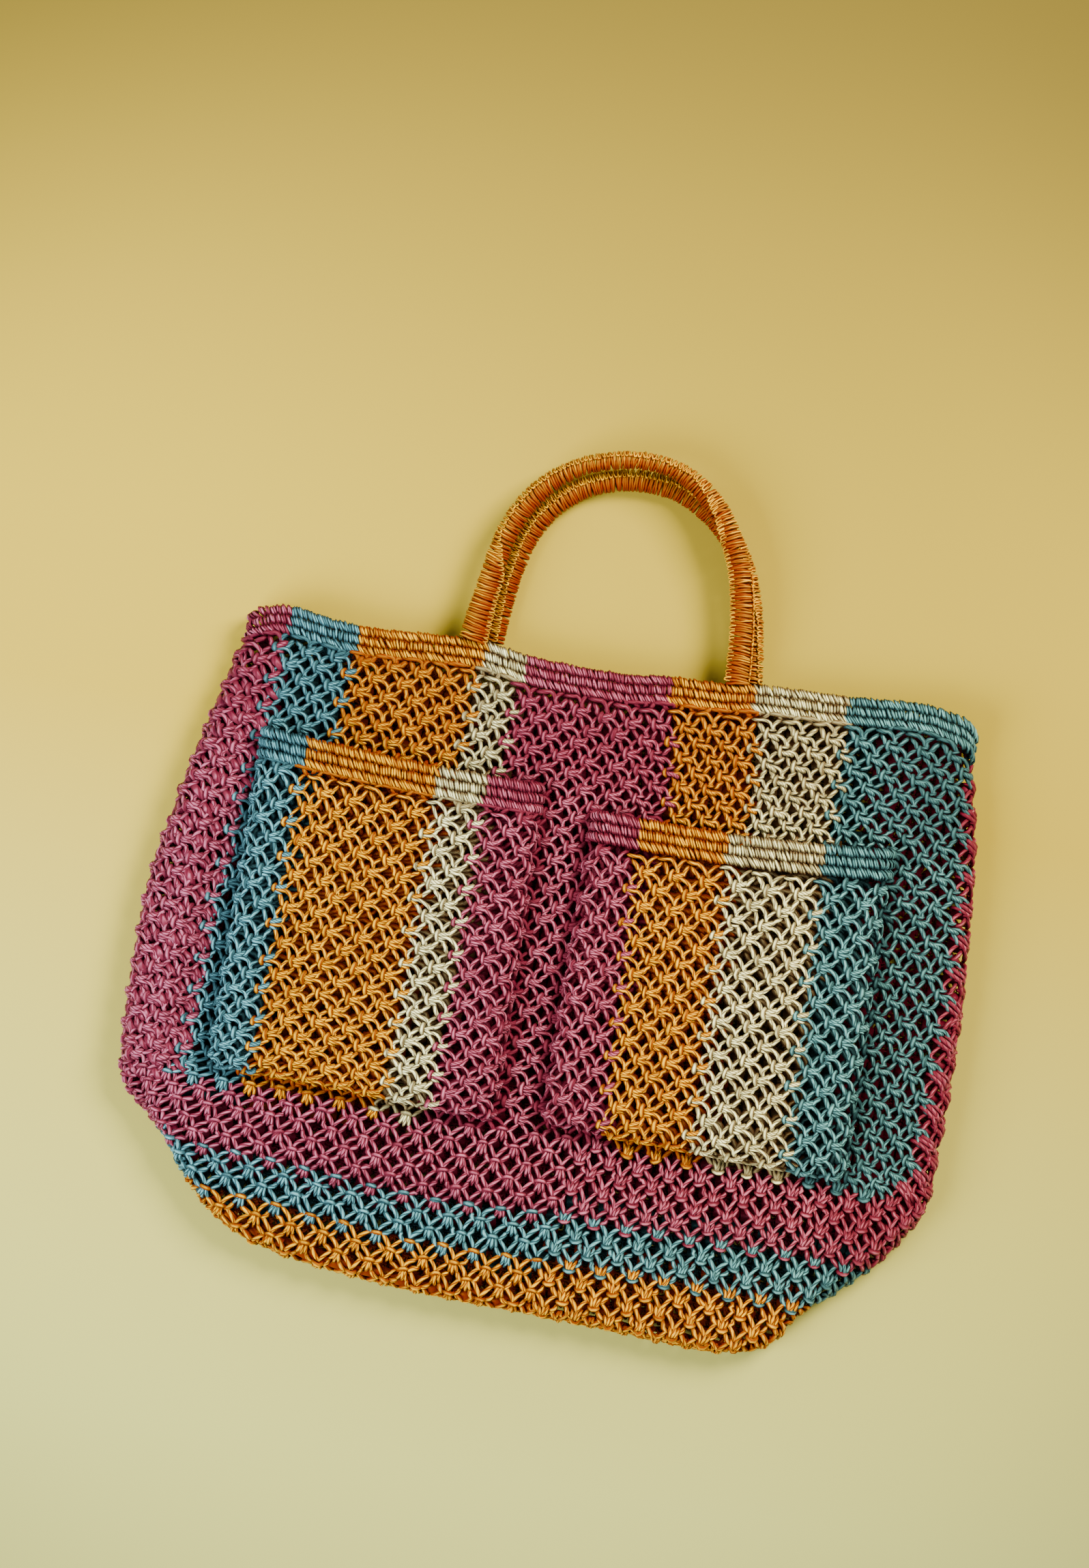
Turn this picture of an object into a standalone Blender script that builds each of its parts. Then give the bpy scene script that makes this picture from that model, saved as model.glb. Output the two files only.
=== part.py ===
"""A knotted string tote bag lying on its back: a netted sack, a ridged band round its mouth,
two netted patch pockets with a ridged band each, and two corded handles.

Metres, +Z up. X runs along the mouth and +Y points to the handles. Every table below is in the
bag's own plan, with its zero at the middle of the mouth, and PLAN_MIDDLE brings that plan to the
origin, which is under the middle of the whole outline, on the surface that the bag lies on.
"""

import math

import bmesh
import bpy
import numpy as np

NAME = "knotted_string_tote"
PLAN_MIDDLE = (-0.01408, -0.11791)

NET_THICK = 0.004
PANEL_TOP = 0.020
FOLD_REACH = 0.010
GAP = 0.0004

BAND_BARS = 3
BAND_RIDGE = 0.0015
MOUTH_BAND_TALL = 0.0150
POCKET_BAND_TALL = 0.0165

POCKET_TOP = 0.031
POCKET_ROLL = 0.008
POCKET_FOOT_TALL = 0.003

HANDLE_WIDE = 0.0126
HANDLE_THICK = 0.0120
HANDLE_RIDGE = 0.10
HANDLE_SIDES = 12
HANDLE_STEPS = 40

# The outline of the lying sack from the mouth's left end round the base to its right end: x, y.
OUTLINE = (
    (-0.2045, -0.0215), (-0.2120, -0.0500), (-0.2250, -0.1100), (-0.2325, -0.1600),
    (-0.2325, -0.2150), (-0.2290, -0.2570), (-0.2130, -0.2760), (-0.1990, -0.2900),
    (-0.1860, -0.3080), (-0.1620, -0.3280), (-0.1200, -0.3400), (-0.0500, -0.3460),
    (0.0400, -0.3475), (0.1000, -0.3495), (0.1300, -0.3430), (0.1480, -0.3220),
    (0.1690, -0.3020), (0.1870, -0.2820), (0.2020, -0.2590), (0.2045, -0.2300),
    (0.2045, -0.1700), (0.2015, -0.1150), (0.1960, -0.0650), (0.1865, -0.0190),
)

# The upper edge of the mouth band: x, y.
MOUTH_EDGE = (
    (-0.2045, -0.0065), (-0.1960, -0.0020), (-0.1820, 0.0005), (-0.1450, -0.0035),
    (-0.0850, 0.0000), (-0.0500, -0.0040), (-0.0050, -0.0045), (0.0200, -0.0015),
    (0.0500, 0.0000), (0.0700, 0.0025), (0.1160, 0.0045), (0.1520, 0.0075),
    (0.1700, 0.0055), (0.1800, 0.0025), (0.1865, -0.0040),
)

# Rows of the sack's net, from the mouth to the base: y at the left side, y at the right side, and
# the share that the row takes of the bend of the base line. The first row follows the mouth.
ROWS = (
    (-0.0215, -0.0190, 0.0), (-0.0490, -0.0490, 0.0), (-0.0790, -0.0790, 0.0),
    (-0.1090, -0.1090, 0.0), (-0.1390, -0.1390, 0.0), (-0.1690, -0.1690, 0.0),
    (-0.1990, -0.1990, 0.0), (-0.2290, -0.2290, 0.0), (-0.2570, -0.2580, 0.0),
    (-0.2740, -0.2760, 0.35), (-0.2910, -0.2960, 0.70), (-0.3080, -0.3150, 1.0),
)

# Columns of the sack's net: the share of the way across the front.
COLUMNS = (
    0.0, 0.065, 0.135, 0.205, 0.275, 0.345, 0.415, 0.485,
    0.555, 0.630, 0.705, 0.780, 0.855, 0.932, 1.0,
)

# Long soft folds of the front: x, y of each end, half width, rise.
FRONT_FOLDS = (
    (-0.2120, -0.0550, -0.2140, -0.2400, 0.019, 0.0040),
    (-0.1935, -0.1150, -0.1960, -0.2200, 0.016, -0.0030),
    (0.1670, -0.1100, 0.1660, -0.2100, 0.014, -0.0020),
    (-0.1800, -0.2800, 0.1700, -0.2800, 0.019, 0.0060),
    (-0.1500, -0.0440, 0.1500, -0.0440, 0.026, -0.0010),
)

# Patch pockets: name, x of the left and right edge at the top and at the foot, y of the band's
# upper edge at the left and right, its sag between them, and y of the foot at the left and right.
POCKETS = (
    ("pocket_left", -0.1855, -0.0355, -0.1840, -0.0305, -0.0645, -0.0690, -0.0020, -0.2440, -0.2490),
    ("pocket_right", -0.0070, 0.1525, -0.0055, 0.1565, -0.0775, -0.0710, -0.0030, -0.2450, -0.2480),
)
POCKET_COLUMNS = 5
POCKET_ROWS = 5

# Long soft folds of the pockets, as for the front.
POCKET_FOLDS = (
    (-0.1740, -0.0950, -0.1740, -0.2300, 0.014, 0.0022),
    (-0.1700, -0.2200, -0.1640, -0.2320, 0.018, 0.0020),
    (-0.0430, -0.0950, -0.0420, -0.2250, 0.014, 0.0016),
    (-0.0500, -0.2250, -0.0440, -0.2330, 0.018, 0.0018),
    (0.0060, -0.1000, 0.0070, -0.2250, 0.014, 0.0020),
    (0.0140, -0.2260, 0.0280, -0.2320, 0.018, 0.0018),
    (0.1440, -0.1150, 0.1450, -0.2250, 0.015, 0.0032),
    (-0.1100, -0.1100, -0.1080, -0.2000, 0.030, -0.0010),
    (0.0760, -0.1100, 0.0780, -0.2000, 0.030, -0.0010),
)

# Handles, from the left end over the top to the right end: x, y, z, thickness as a share.
HANDLE_FRONT = (
    (-0.0855, 0.0010, 0.0178, 1.26), (-0.0842, 0.0150, 0.0176, 1.16), (-0.0822, 0.0300, 0.0174, 1.05),
    (-0.0800, 0.0470, 0.0172, 1.0), (-0.0762, 0.0620, 0.0172, 1.0), (-0.0685, 0.0775, 0.0172, 1.0),
    (-0.0560, 0.0910, 0.0172, 1.0), (-0.0390, 0.1010, 0.0172, 1.0), (-0.0150, 0.1070, 0.0173, 1.0),
    (0.0080, 0.1045, 0.0178, 1.0), (0.0260, 0.0935, 0.0186, 1.0), (0.0385, 0.0780, 0.0192, 1.0),
    (0.0465, 0.0620, 0.0190, 1.0), (0.0510, 0.0450, 0.0184, 1.0), (0.0542, 0.0250, 0.0178, 1.02),
    (0.0560, 0.0024, 0.0176, 1.05),
)
HANDLE_BACK = (
    (-0.0750, 0.0006, 0.0063, 1.0), (-0.0738, 0.0200, 0.0062, 1.0), (-0.0715, 0.0390, 0.0062, 1.0),
    (-0.0665, 0.0590, 0.0062, 1.0), (-0.0560, 0.0770, 0.0062, 1.0), (-0.0400, 0.0905, 0.0062, 1.0),
    (-0.0180, 0.0980, 0.0062, 1.0), (0.0060, 0.0975, 0.0062, 1.0), (0.0260, 0.0885, 0.0062, 1.0),
    (0.0410, 0.0750, 0.0062, 1.0), (0.0515, 0.0580, 0.0062, 1.0), (0.0580, 0.0380, 0.0062, 1.0),
    (0.0618, 0.0180, 0.0062, 1.0), (0.0640, 0.0030, 0.0063, 1.0),
)

HOLE_BORDER = 0.0058
LINE_STEPS = 16
FOLD_TURNS = (90, 45, 0, -45, -90)
ROLL_TURNS = (90, 55, 25, 0)

YARNS = {
    "magenta": (0.40, 0.065, 0.16, 1.0),
    "teal": (0.12, 0.32, 0.37, 1.0),
    "orange": (0.63, 0.26, 0.03, 1.0),
    "cream": (0.66, 0.62, 0.42, 1.0),
}


def clear_scene():
    for old in list(bpy.data.objects):
        bpy.data.objects.remove(old, do_unlink=True)


def yarn_material(name):
    """Matt jute yarn in one of the bag's colours."""
    material = bpy.data.materials.get(name) or bpy.data.materials.new(name)
    material.use_nodes = True
    shader = material.node_tree.nodes["Principled BSDF"]
    shader.inputs["Base Color"].default_value = YARNS[name]
    shader.inputs["Roughness"].default_value = 0.85
    shader.inputs["Metallic"].default_value = 0.0
    return material


def smooth_line(points):
    """A smooth line through the points, as many short steps."""
    points = np.array(points, float)
    held = np.vstack([points[:1], points, points[-1:]])
    step = np.linspace(0.0, 1.0, LINE_STEPS, endpoint=False)[:, None]
    runs = []
    for a, b, c, d in zip(held, held[1:], held[2:], held[3:]):
        bend = (2 * a - 5 * b + 4 * c - d) * step**2 + (3 * b - a - 3 * c + d) * step**3
        runs.append(0.5 * (2 * b + (c - a) * step + bend))
    return np.vstack([*runs, points[-1:]])


def fold_rise(folds, x, y):
    """How far the soft folds lift the plan point x, y."""
    rise = 0.0
    for x0, y0, x1, y1, half_width, height in folds:
        along = np.array([x1 - x0, y1 - y0])
        share = np.clip(np.dot([x - x0, y - y0], along) / np.dot(along, along), 0.0, 1.0)
        away = math.hypot(x - x0 - share * along[0], y - y0 - share * along[1]) / half_width
        if away < 1.0:
            rise += height * 0.5 * (1.0 + math.cos(math.pi * away))
    return rise


def front_top(x, y):
    return PANEL_TOP + fold_rise(FRONT_FOLDS, x, y)


def mouth_edge(x):
    line = smooth_line(MOUTH_EDGE)
    return float(np.interp(x, line[:, 0], line[:, 1]))


class SackPlan:
    """The sack's plan: the stations round its outline and the rows and columns of its net."""

    def __init__(self):
        self.across = len(COLUMNS) - 1
        self.down = len(ROWS) - 1
        line = smooth_line(OUTLINE)
        turn = np.gradient(line, axis=0)
        turn /= np.linalg.norm(turn, axis=1)[:, None]
        inward = np.stack([-turn[:, 1], turn[:, 0]], axis=1)
        place = self.stations(line)
        order = np.arange(len(line))
        self.outer = np.stack([np.interp(place, order, line[:, k]) for k in (0, 1)], axis=1)
        lean = np.stack([np.interp(place, order, inward[:, k]) for k in (0, 1)], axis=1)
        self.inner = self.outer + FOLD_REACH * lean
        for end in (0, -1):
            self.outer[end, 1] = mouth_edge(self.outer[end, 0]) - MOUTH_BAND_TALL
            self.inner[end, 0] = self.outer[end, 0] + FOLD_REACH * (1 if end == 0 else -1)
            self.inner[end, 1] = mouth_edge(self.inner[end, 0]) - MOUTH_BAND_TALL

    def stations(self, line):
        """Where along the outline each row and column of the net ends."""
        order = np.arange(len(line))
        lowest = int(np.argmin(line[:, 1]))
        left = np.interp([-row[0] for row in ROWS], -line[:lowest, 1], order[:lowest])
        right = np.interp([row[1] for row in ROWS[::-1]], line[lowest:, 1], order[lowest:])
        base_x = [line[int(left[-1]), 0], line[int(right[0]), 0]]
        wanted = np.interp(COLUMNS[1:-1], (0.0, 1.0), base_x)
        span = slice(int(left[-1]), int(right[0]) + 1)
        base = np.interp(wanted, line[span, 0], order[span])
        return np.concatenate([left, base, right])

    def left(self, j):
        return self.inner[j]

    def right(self, j):
        return self.inner[len(self.inner) - 1 - j]

    def base(self, i):
        return self.inner[self.down + i]

    def mouth(self, i):
        x = self.left(0)[0] + COLUMNS[i] * (self.right(0)[0] - self.left(0)[0])
        return np.array([x, mouth_edge(x) - MOUTH_BAND_TALL])

    def net_point(self, i, j):
        """The plan point of column i, row j of the flat part of the net."""
        share = COLUMNS[i]
        level = self.left(j) + share * (self.right(j) - self.left(j))
        straight_mouth = self.left(0) + share * (self.right(0) - self.left(0))
        straight_base = self.left(self.down) + share * (self.right(self.down) - self.left(self.down))
        mouth_share = 1.0 - min(j / 3.0, 1.0)
        bend = mouth_share * (self.mouth(i) - straight_mouth)
        return level + bend + ROWS[j][2] * (self.base(i) - straight_base)


def in_plan(x, y, z):
    """A point of the bag's own plan, in the part's frame."""
    return (x - PLAN_MIDDLE[0], y - PLAN_MIDDLE[1], z)


def mapped_grid(bm, across, down, place):
    """A grid of across x down faces whose vertex in column i, row j goes to place(i, j)."""
    made = bmesh.ops.create_grid(bm, x_segments=across, y_segments=down, size=0.5)
    for vert in made["verts"]:
        i = round((vert.co.x + 0.5) * across)
        j = round((0.5 - vert.co.y) * down)
        vert.co = place(i, j)
    return made["verts"]


def raise_to(verts, top):
    for vert in verts:
        vert.co.z = top(vert.co.x + PLAN_MIDDLE[0], vert.co.y + PLAN_MIDDLE[1])


def net_of_diamonds(bm, across, down, place, top, is_open):
    """A diamond net over a grid in plan, raised to top(x, y) and cut through where is_open(x, y)."""
    corners = mapped_grid(bm, across, down, place)
    cells = list({face for vert in corners for face in vert.link_faces})
    centres = set(bmesh.ops.poke(bm, faces=cells)["verts"])
    net = set(corners) | centres
    raise_to(net, top)
    sides = {edge for vert in corners for edge in vert.link_edges}
    crossed = [e for e in sides if not set(e.verts) & centres and not e.is_boundary]
    bmesh.ops.dissolve_edges(bm, edges=crossed, use_verts=False)
    diamonds = []
    for face in {face for vert in net for face in vert.link_faces}:
        middle = face.calc_center_median()
        if len(face.verts) == 4 and is_open(middle.x + PLAN_MIDDLE[0], middle.y + PLAN_MIDDLE[1]):
            diamonds.append(face)
    bmesh.ops.inset_individual(bm, faces=diamonds, thickness=HOLE_BORDER, use_even_offset=True)
    raise_to({vert for face in diamonds for vert in face.verts}, top)
    bmesh.ops.delete(bm, geom=diamonds, context="FACES")


def add_sheet(name, colour, bm, collection, probe_up):
    """An object from an open surface, its faces turned to the outer side, thickened inwards."""
    bmesh.ops.remove_doubles(bm, verts=bm.verts, dist=0.00001)
    bmesh.ops.recalc_face_normals(bm, faces=bm.faces)
    bm.normal_update()
    highest = max(bm.faces, key=probe_up)
    if highest.normal.z < 0:
        bmesh.ops.reverse_faces(bm, faces=bm.faces)
    mesh = bpy.data.meshes.new(name)
    bm.to_mesh(mesh)
    bm.free()
    mesh.materials.append(yarn_material(colour))
    mesh.shade_smooth()
    mesh.set_sharp_from_angle(angle=math.radians(50))
    obj = bpy.data.objects.new(name, mesh)
    collection.objects.link(obj)
    wall = obj.modifiers.new("wall", "SOLIDIFY")
    wall.thickness = NET_THICK
    wall.offset = -1.0
    wall.use_rim = True
    return obj


def fold_turn(inner, outer, low, high, degrees):
    """A point of the round side fold between the back, at low, and the front, at high."""
    angle = math.radians(degrees)
    flat = inner + (outer - inner) * math.cos(angle)
    middle = 0.5 * (low + high)
    return np.array([flat[0], flat[1], middle + (high - middle) * math.sin(angle)])


def pocket_footprint(pocket, margin):
    """The plan box of a pocket, grown by a margin: low x, high x, low y, high y."""
    lefts = min(pocket[1], pocket[3]) - margin
    rights = max(pocket[2], pocket[4]) + margin
    tops = max(pocket[5], pocket[6]) + margin
    feet = min(pocket[8], pocket[9]) - margin
    return lefts, rights, feet, tops


def clear_of_pockets(x, y):
    """True where the front's net shows beside the pockets."""
    for pocket in POCKETS:
        left, right, low, high = pocket_footprint(pocket, 0.004)
        if left < x < right and low < y < high:
            return False
    return True


def make_body(collection):
    """The sack: a netted front, a back, and the round folds that join them at the sides and base."""
    plan = SackPlan()
    bm = bmesh.new()
    net_of_diamonds(
        bm, plan.across, plan.down,
        lambda i, j: in_plan(*plan.net_point(i, j), 0.0),
        front_top, clear_of_pockets,
    )
    mapped_grid(bm, plan.across, plan.down, lambda i, j: in_plan(*plan.net_point(i, j), 0.0))

    def side_fold(i, j):
        inner = plan.inner[i]
        point = fold_turn(inner, plan.outer[i], 0.0, front_top(*inner), FOLD_TURNS[j])
        return in_plan(*point)

    mapped_grid(bm, len(plan.inner) - 1, len(FOLD_TURNS) - 1, side_fold)
    return add_sheet("body", "magenta", bm, collection, lambda face: face.calc_center_median().z)


def ridged_band(bm, across, path, low_edge, high_edge, closed):
    """A band of raised bars along a path of (x, z) points, between its low and high edge in y."""
    path = np.array(path)
    ends = (path[-2:-1], path[1:2]) if closed else (path[:1], path[-1:])
    held = np.vstack([ends[0], path, ends[1]])
    turn = held[2:] - held[:-2]
    turn /= np.linalg.norm(turn, axis=1)[:, None]
    outward = np.stack([-turn[:, 1], turn[:, 0]], axis=1)
    rows = 2 * BAND_BARS

    def place(i, j):
        raised = BAND_RIDGE if j % 2 else 0.0
        x, z = path[i] + raised * outward[i]
        y = high_edge[i] + (low_edge[i] - high_edge[i]) * j / rows
        return in_plan(x, y, z)

    mapped_grid(bm, across, rows, place)


def make_rim(collection):
    """The ridged band round the mouth, a flattened ring."""
    plan = SackPlan()
    ends = ((plan.inner[0], plan.outer[0]), (plan.inner[-1], plan.outer[-1]))
    points = []
    for degrees in FOLD_TURNS[::-1]:
        points.append(fold_turn(*ends[0], BAND_RIDGE, PANEL_TOP, degrees))
    for i in range(1, plan.across):
        points.append(np.array([*plan.mouth(i), PANEL_TOP]))
    for degrees in FOLD_TURNS:
        points.append(fold_turn(*ends[1], BAND_RIDGE, PANEL_TOP, degrees))
    for i in range(plan.across - 1, 0, -1):
        points.append(np.array([*plan.mouth(i), BAND_RIDGE]))
    points.append(points[0])
    points = np.array(points)
    low_edge = points[:, 1] + GAP
    high_edge = [mouth_edge(x) for x in points[:, 0]]
    bm = bmesh.new()
    ridged_band(bm, len(points) - 1, points[:, [0, 2]], low_edge, high_edge, True)
    return add_sheet("rim", "teal", bm, collection, lambda face: face.calc_center_median().z)


class PocketPlan:
    """The plan of one patch pocket, by its share across and its share down."""

    def __init__(self, pocket):
        (self.name, self.left_top, self.right_top, self.left_foot, self.right_foot,
         self.band_left, self.band_right, self.sag, self.foot_left, self.foot_right) = pocket

    def band_top(self, share):
        level = self.band_left + share * (self.band_right - self.band_left)
        return level + self.sag * math.sin(math.pi * share)

    def point(self, share, down):
        """The plan point, with down 0 at the band's lower edge and 1 at the foot."""
        left = self.left_top + down * (self.left_foot - self.left_top)
        right = self.right_top + down * (self.right_foot - self.right_top)
        upper = self.band_top(share) - POCKET_BAND_TALL
        lower = self.foot_left + share * (self.foot_right - self.foot_left)
        return np.array([left + share * (right - left), upper + down * (lower - upper)])

    def flat_point(self, share, down):
        """The same on the flat part, which ends a roll's width inside the sides and the foot."""
        wide = self.right_foot - self.left_foot
        tall = self.band_left - POCKET_BAND_TALL - self.foot_left
        side = POCKET_ROLL / wide
        return self.point(side + share * (1.0 - 2.0 * side), down * (1.0 - POCKET_ROLL / tall))


def pocket_top(x, y):
    return POCKET_TOP + fold_rise(POCKET_FOLDS, x, y)


def roll_point(flat, outer, step):
    """A point of a pocket's rolled side, from its flat part down to its foot on the front."""
    foot = PANEL_TOP + GAP
    if step == len(ROLL_TURNS):
        return np.array([*outer, foot])
    angle = math.radians(ROLL_TURNS[step])
    plan = flat + (outer - flat) * math.cos(angle)
    shoulder = foot + POCKET_FOOT_TALL
    return np.array([*plan, shoulder + (pocket_top(*flat) - shoulder) * math.sin(angle)])


def pocket_stations():
    """Shares across and down at each station round a pocket's sides and foot."""
    left = [(0.0, j / POCKET_ROWS) for j in range(POCKET_ROWS + 1)]
    foot = [(i / POCKET_COLUMNS, 1.0) for i in range(1, POCKET_COLUMNS)]
    right = [(1.0, j / POCKET_ROWS) for j in range(POCKET_ROWS, -1, -1)]
    return left + foot + right


def make_pocket(pocket, colour, collection):
    """A netted patch that stands off the front and comes down to it at its sides and foot."""
    plan = PocketPlan(pocket)
    bm = bmesh.new()
    net_of_diamonds(
        bm, POCKET_COLUMNS, POCKET_ROWS,
        lambda i, j: in_plan(*plan.flat_point(i / POCKET_COLUMNS, j / POCKET_ROWS), 0.0),
        pocket_top, lambda x, y: True,
    )
    stations = pocket_stations()
    mapped_grid(
        bm, len(stations) - 1, len(ROLL_TURNS),
        lambda i, j: in_plan(*roll_point(plan.flat_point(*stations[i]), plan.point(*stations[i]), j)),
    )
    return add_sheet(plan.name, colour, bm, collection, lambda face: face.normal.z**2)


def make_pocket_band(pocket, colour, collection):
    """The ridged band over a pocket's mouth, whose ends come down to the front."""
    plan = PocketPlan(pocket)
    steps = len(ROLL_TURNS)
    ends = [(plan.flat_point(share, 0.0), plan.point(share, 0.0)) for share in (0.0, 1.0)]
    points = [roll_point(*ends[0], step) for step in range(steps, -1, -1)]
    for i in range(1, 2 * POCKET_COLUMNS):
        flat = plan.flat_point(i / (2 * POCKET_COLUMNS), 0.0)
        points.append(np.array([*flat, pocket_top(*flat)]))
    points += [roll_point(*ends[1], step) for step in range(steps + 1)]
    points = np.array(points)
    low_edge = points[:, 1] + GAP
    high_edge = points[:, 1] + POCKET_BAND_TALL
    bm = bmesh.new()
    ridged_band(bm, len(points) - 1, points[:, [0, 2]], low_edge, high_edge, False)
    return add_sheet(plan.name + "_band", colour, bm, collection, lambda face: face.normal.z**2)


def make_handle(name, route, colour, collection, guides):
    """A corded handle: a ridged oval section swept along a smooth route."""
    outline = bpy.data.curves.new(name + "_section", "CURVE")
    outline.dimensions = "2D"
    ring = outline.splines.new("POLY")
    ring.points.add(HANDLE_SIDES - 1)
    for k, point in enumerate(ring.points):
        angle = -2.0 * math.pi * k / HANDLE_SIDES
        swell = 1.0 + (HANDLE_RIDGE if k in (HANDLE_SIDES - 2, HANDLE_SIDES // 2 + 2) else 0.0)
        across = 0.5 * HANDLE_WIDE * swell * math.cos(angle)
        point.co = (across, 0.5 * HANDLE_THICK * swell * math.sin(angle), 0.0, 1.0)
    ring.use_cyclic_u = True
    section = bpy.data.objects.new(name + "_section", outline)
    section.hide_render = True
    section.display_type = "WIRE"
    guides.objects.link(section)

    line = smooth_line(route)
    reach = np.concatenate([[0.0], np.cumsum(np.linalg.norm(np.diff(line[:, :3], axis=0), axis=1))])
    wanted = np.linspace(0.0, reach[-1], HANDLE_STEPS)
    path = bpy.data.curves.new(name, "CURVE")
    path.dimensions = "3D"
    path.twist_mode = "Z_UP"
    spline = path.splines.new("POLY")
    spline.points.add(HANDLE_STEPS - 1)
    for point, at in zip(spline.points, wanted):
        x, y, z, share = (float(np.interp(at, reach, line[:, k])) for k in range(4))
        point.co = (*in_plan(x, y, z), 1.0)
        point.radius = share
    path.bevel_mode = "OBJECT"
    path.bevel_object = section
    path.use_fill_caps = True
    path.materials.append(yarn_material(colour))
    handle = bpy.data.objects.new(name, path)
    collection.objects.link(handle)
    return handle


def main():
    clear_scene()
    parts = bpy.data.collections.new(NAME)
    guides = bpy.data.collections.new("guides")
    bpy.context.scene.collection.children.link(parts)
    bpy.context.scene.collection.children.link(guides)
    make_body(parts)
    make_rim(parts)
    for pocket, colour in zip(POCKETS, ("orange", "cream")):
        make_pocket(pocket, colour, parts)
        make_pocket_band(pocket, colour, parts)
    make_handle("handle_front", HANDLE_FRONT, "orange", parts, guides)
    make_handle("handle_back", HANDLE_BACK, "orange", parts, guides)


main()
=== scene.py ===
"""The looks of the knotted string tote: every knot, link, wrapped bar and handle wrap as yarn.

Tables and shapes are in millimetres of the bag's own plan, whose zero is the middle of the mouth.
They are brought to the frame, in metres, when a mesh is made.
"""

import math

import bpy
import numpy as np
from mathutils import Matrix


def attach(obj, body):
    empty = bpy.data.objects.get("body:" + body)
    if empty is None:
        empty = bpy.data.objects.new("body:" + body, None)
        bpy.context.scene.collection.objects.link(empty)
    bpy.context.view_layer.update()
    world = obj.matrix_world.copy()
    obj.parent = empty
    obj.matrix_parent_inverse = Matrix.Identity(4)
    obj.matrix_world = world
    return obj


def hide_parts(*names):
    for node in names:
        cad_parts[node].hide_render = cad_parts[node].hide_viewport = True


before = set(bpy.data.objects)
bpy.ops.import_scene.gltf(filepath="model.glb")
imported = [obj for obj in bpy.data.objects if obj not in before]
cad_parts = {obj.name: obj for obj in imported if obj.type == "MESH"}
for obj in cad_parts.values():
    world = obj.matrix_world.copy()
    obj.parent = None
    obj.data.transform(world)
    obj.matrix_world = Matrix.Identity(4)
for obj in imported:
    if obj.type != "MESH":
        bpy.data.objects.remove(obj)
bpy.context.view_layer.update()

PLAN_MIDDLE = np.array([-14.08, -117.91, 0.0])
MM = 0.001
# A length too short to divide by.
TINY = 1e-9
rng = np.random.default_rng(11)

# ---------------- tables shared with the solids

OUTLINE = np.array((
    (-204.5, -21.5), (-212.0, -50.0), (-225.0, -110.0), (-232.5, -160.0),
    (-232.5, -215.0), (-229.0, -257.0), (-213.0, -276.0), (-199.0, -290.0),
    (-186.0, -308.0), (-162.0, -328.0), (-120.0, -340.0), (-50.0, -346.0),
    (40.0, -347.5), (100.0, -349.5), (130.0, -343.0), (148.0, -322.0),
    (169.0, -302.0), (187.0, -282.0), (202.0, -259.0), (204.5, -230.0),
    (204.5, -170.0), (201.5, -115.0), (196.0, -65.0), (186.5, -19.0),
))

MOUTH_EDGE = np.array((
    (-204.5, -6.5), (-196.0, -2.0), (-182.0, 0.5), (-145.0, -3.5),
    (-85.0, 0.0), (-50.0, -4.0), (-5.0, -4.5), (20.0, -1.5),
    (50.0, 0.0), (70.0, 2.5), (116.0, 4.5), (152.0, 7.5),
    (170.0, 5.5), (180.0, 2.5), (186.5, -4.0),
))
MOUTH_BAND_TALL = 15.0

# Long soft folds: x, y of each end, half width, rise.
FRONT_FOLDS = (
    (-212.0, -55.0, -214.0, -240.0, 19.0, 4.0),
    (-193.5, -115.0, -196.0, -220.0, 16.0, -3.0),
    (167.0, -110.0, 166.0, -210.0, 14.0, -2.0),
    (-180.0, -280.0, 170.0, -280.0, 19.0, 6.0),
    (-150.0, -44.0, 150.0, -44.0, 26.0, -1.0),
)
POCKET_FOLDS = (
    (-174.0, -95.0, -174.0, -230.0, 14.0, 2.2),
    (-170.0, -220.0, -164.0, -232.0, 18.0, 2.0),
    (-43.0, -95.0, -42.0, -225.0, 14.0, 1.6),
    (-50.0, -225.0, -44.0, -233.0, 18.0, 1.8),
    (6.0, -100.0, 7.0, -225.0, 14.0, 2.0),
    (14.0, -226.0, 28.0, -232.0, 18.0, 1.8),
    (144.0, -115.0, 145.0, -225.0, 15.0, 3.2),
    (-110.0, -110.0, -108.0, -200.0, 30.0, -1.0),
    (76.0, -110.0, 78.0, -200.0, 30.0, -1.0),
)

# Pockets: x of the left and right edge at the top and at the foot, y of the band's upper edge at
# the left and right, its sag between them, and y of the foot at the left and right.
POCKETS = {
    "pocket_left": (-185.5, -35.5, -184.0, -30.5, -64.5, -69.0, -2.0, -244.0, -249.0),
    "pocket_right": (-7.0, 152.5, -5.5, 156.5, -77.5, -71.0, -3.0, -245.0, -248.0),
}
POCKET_BAND_TALL = 16.5
BAND_BARS = 3

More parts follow.
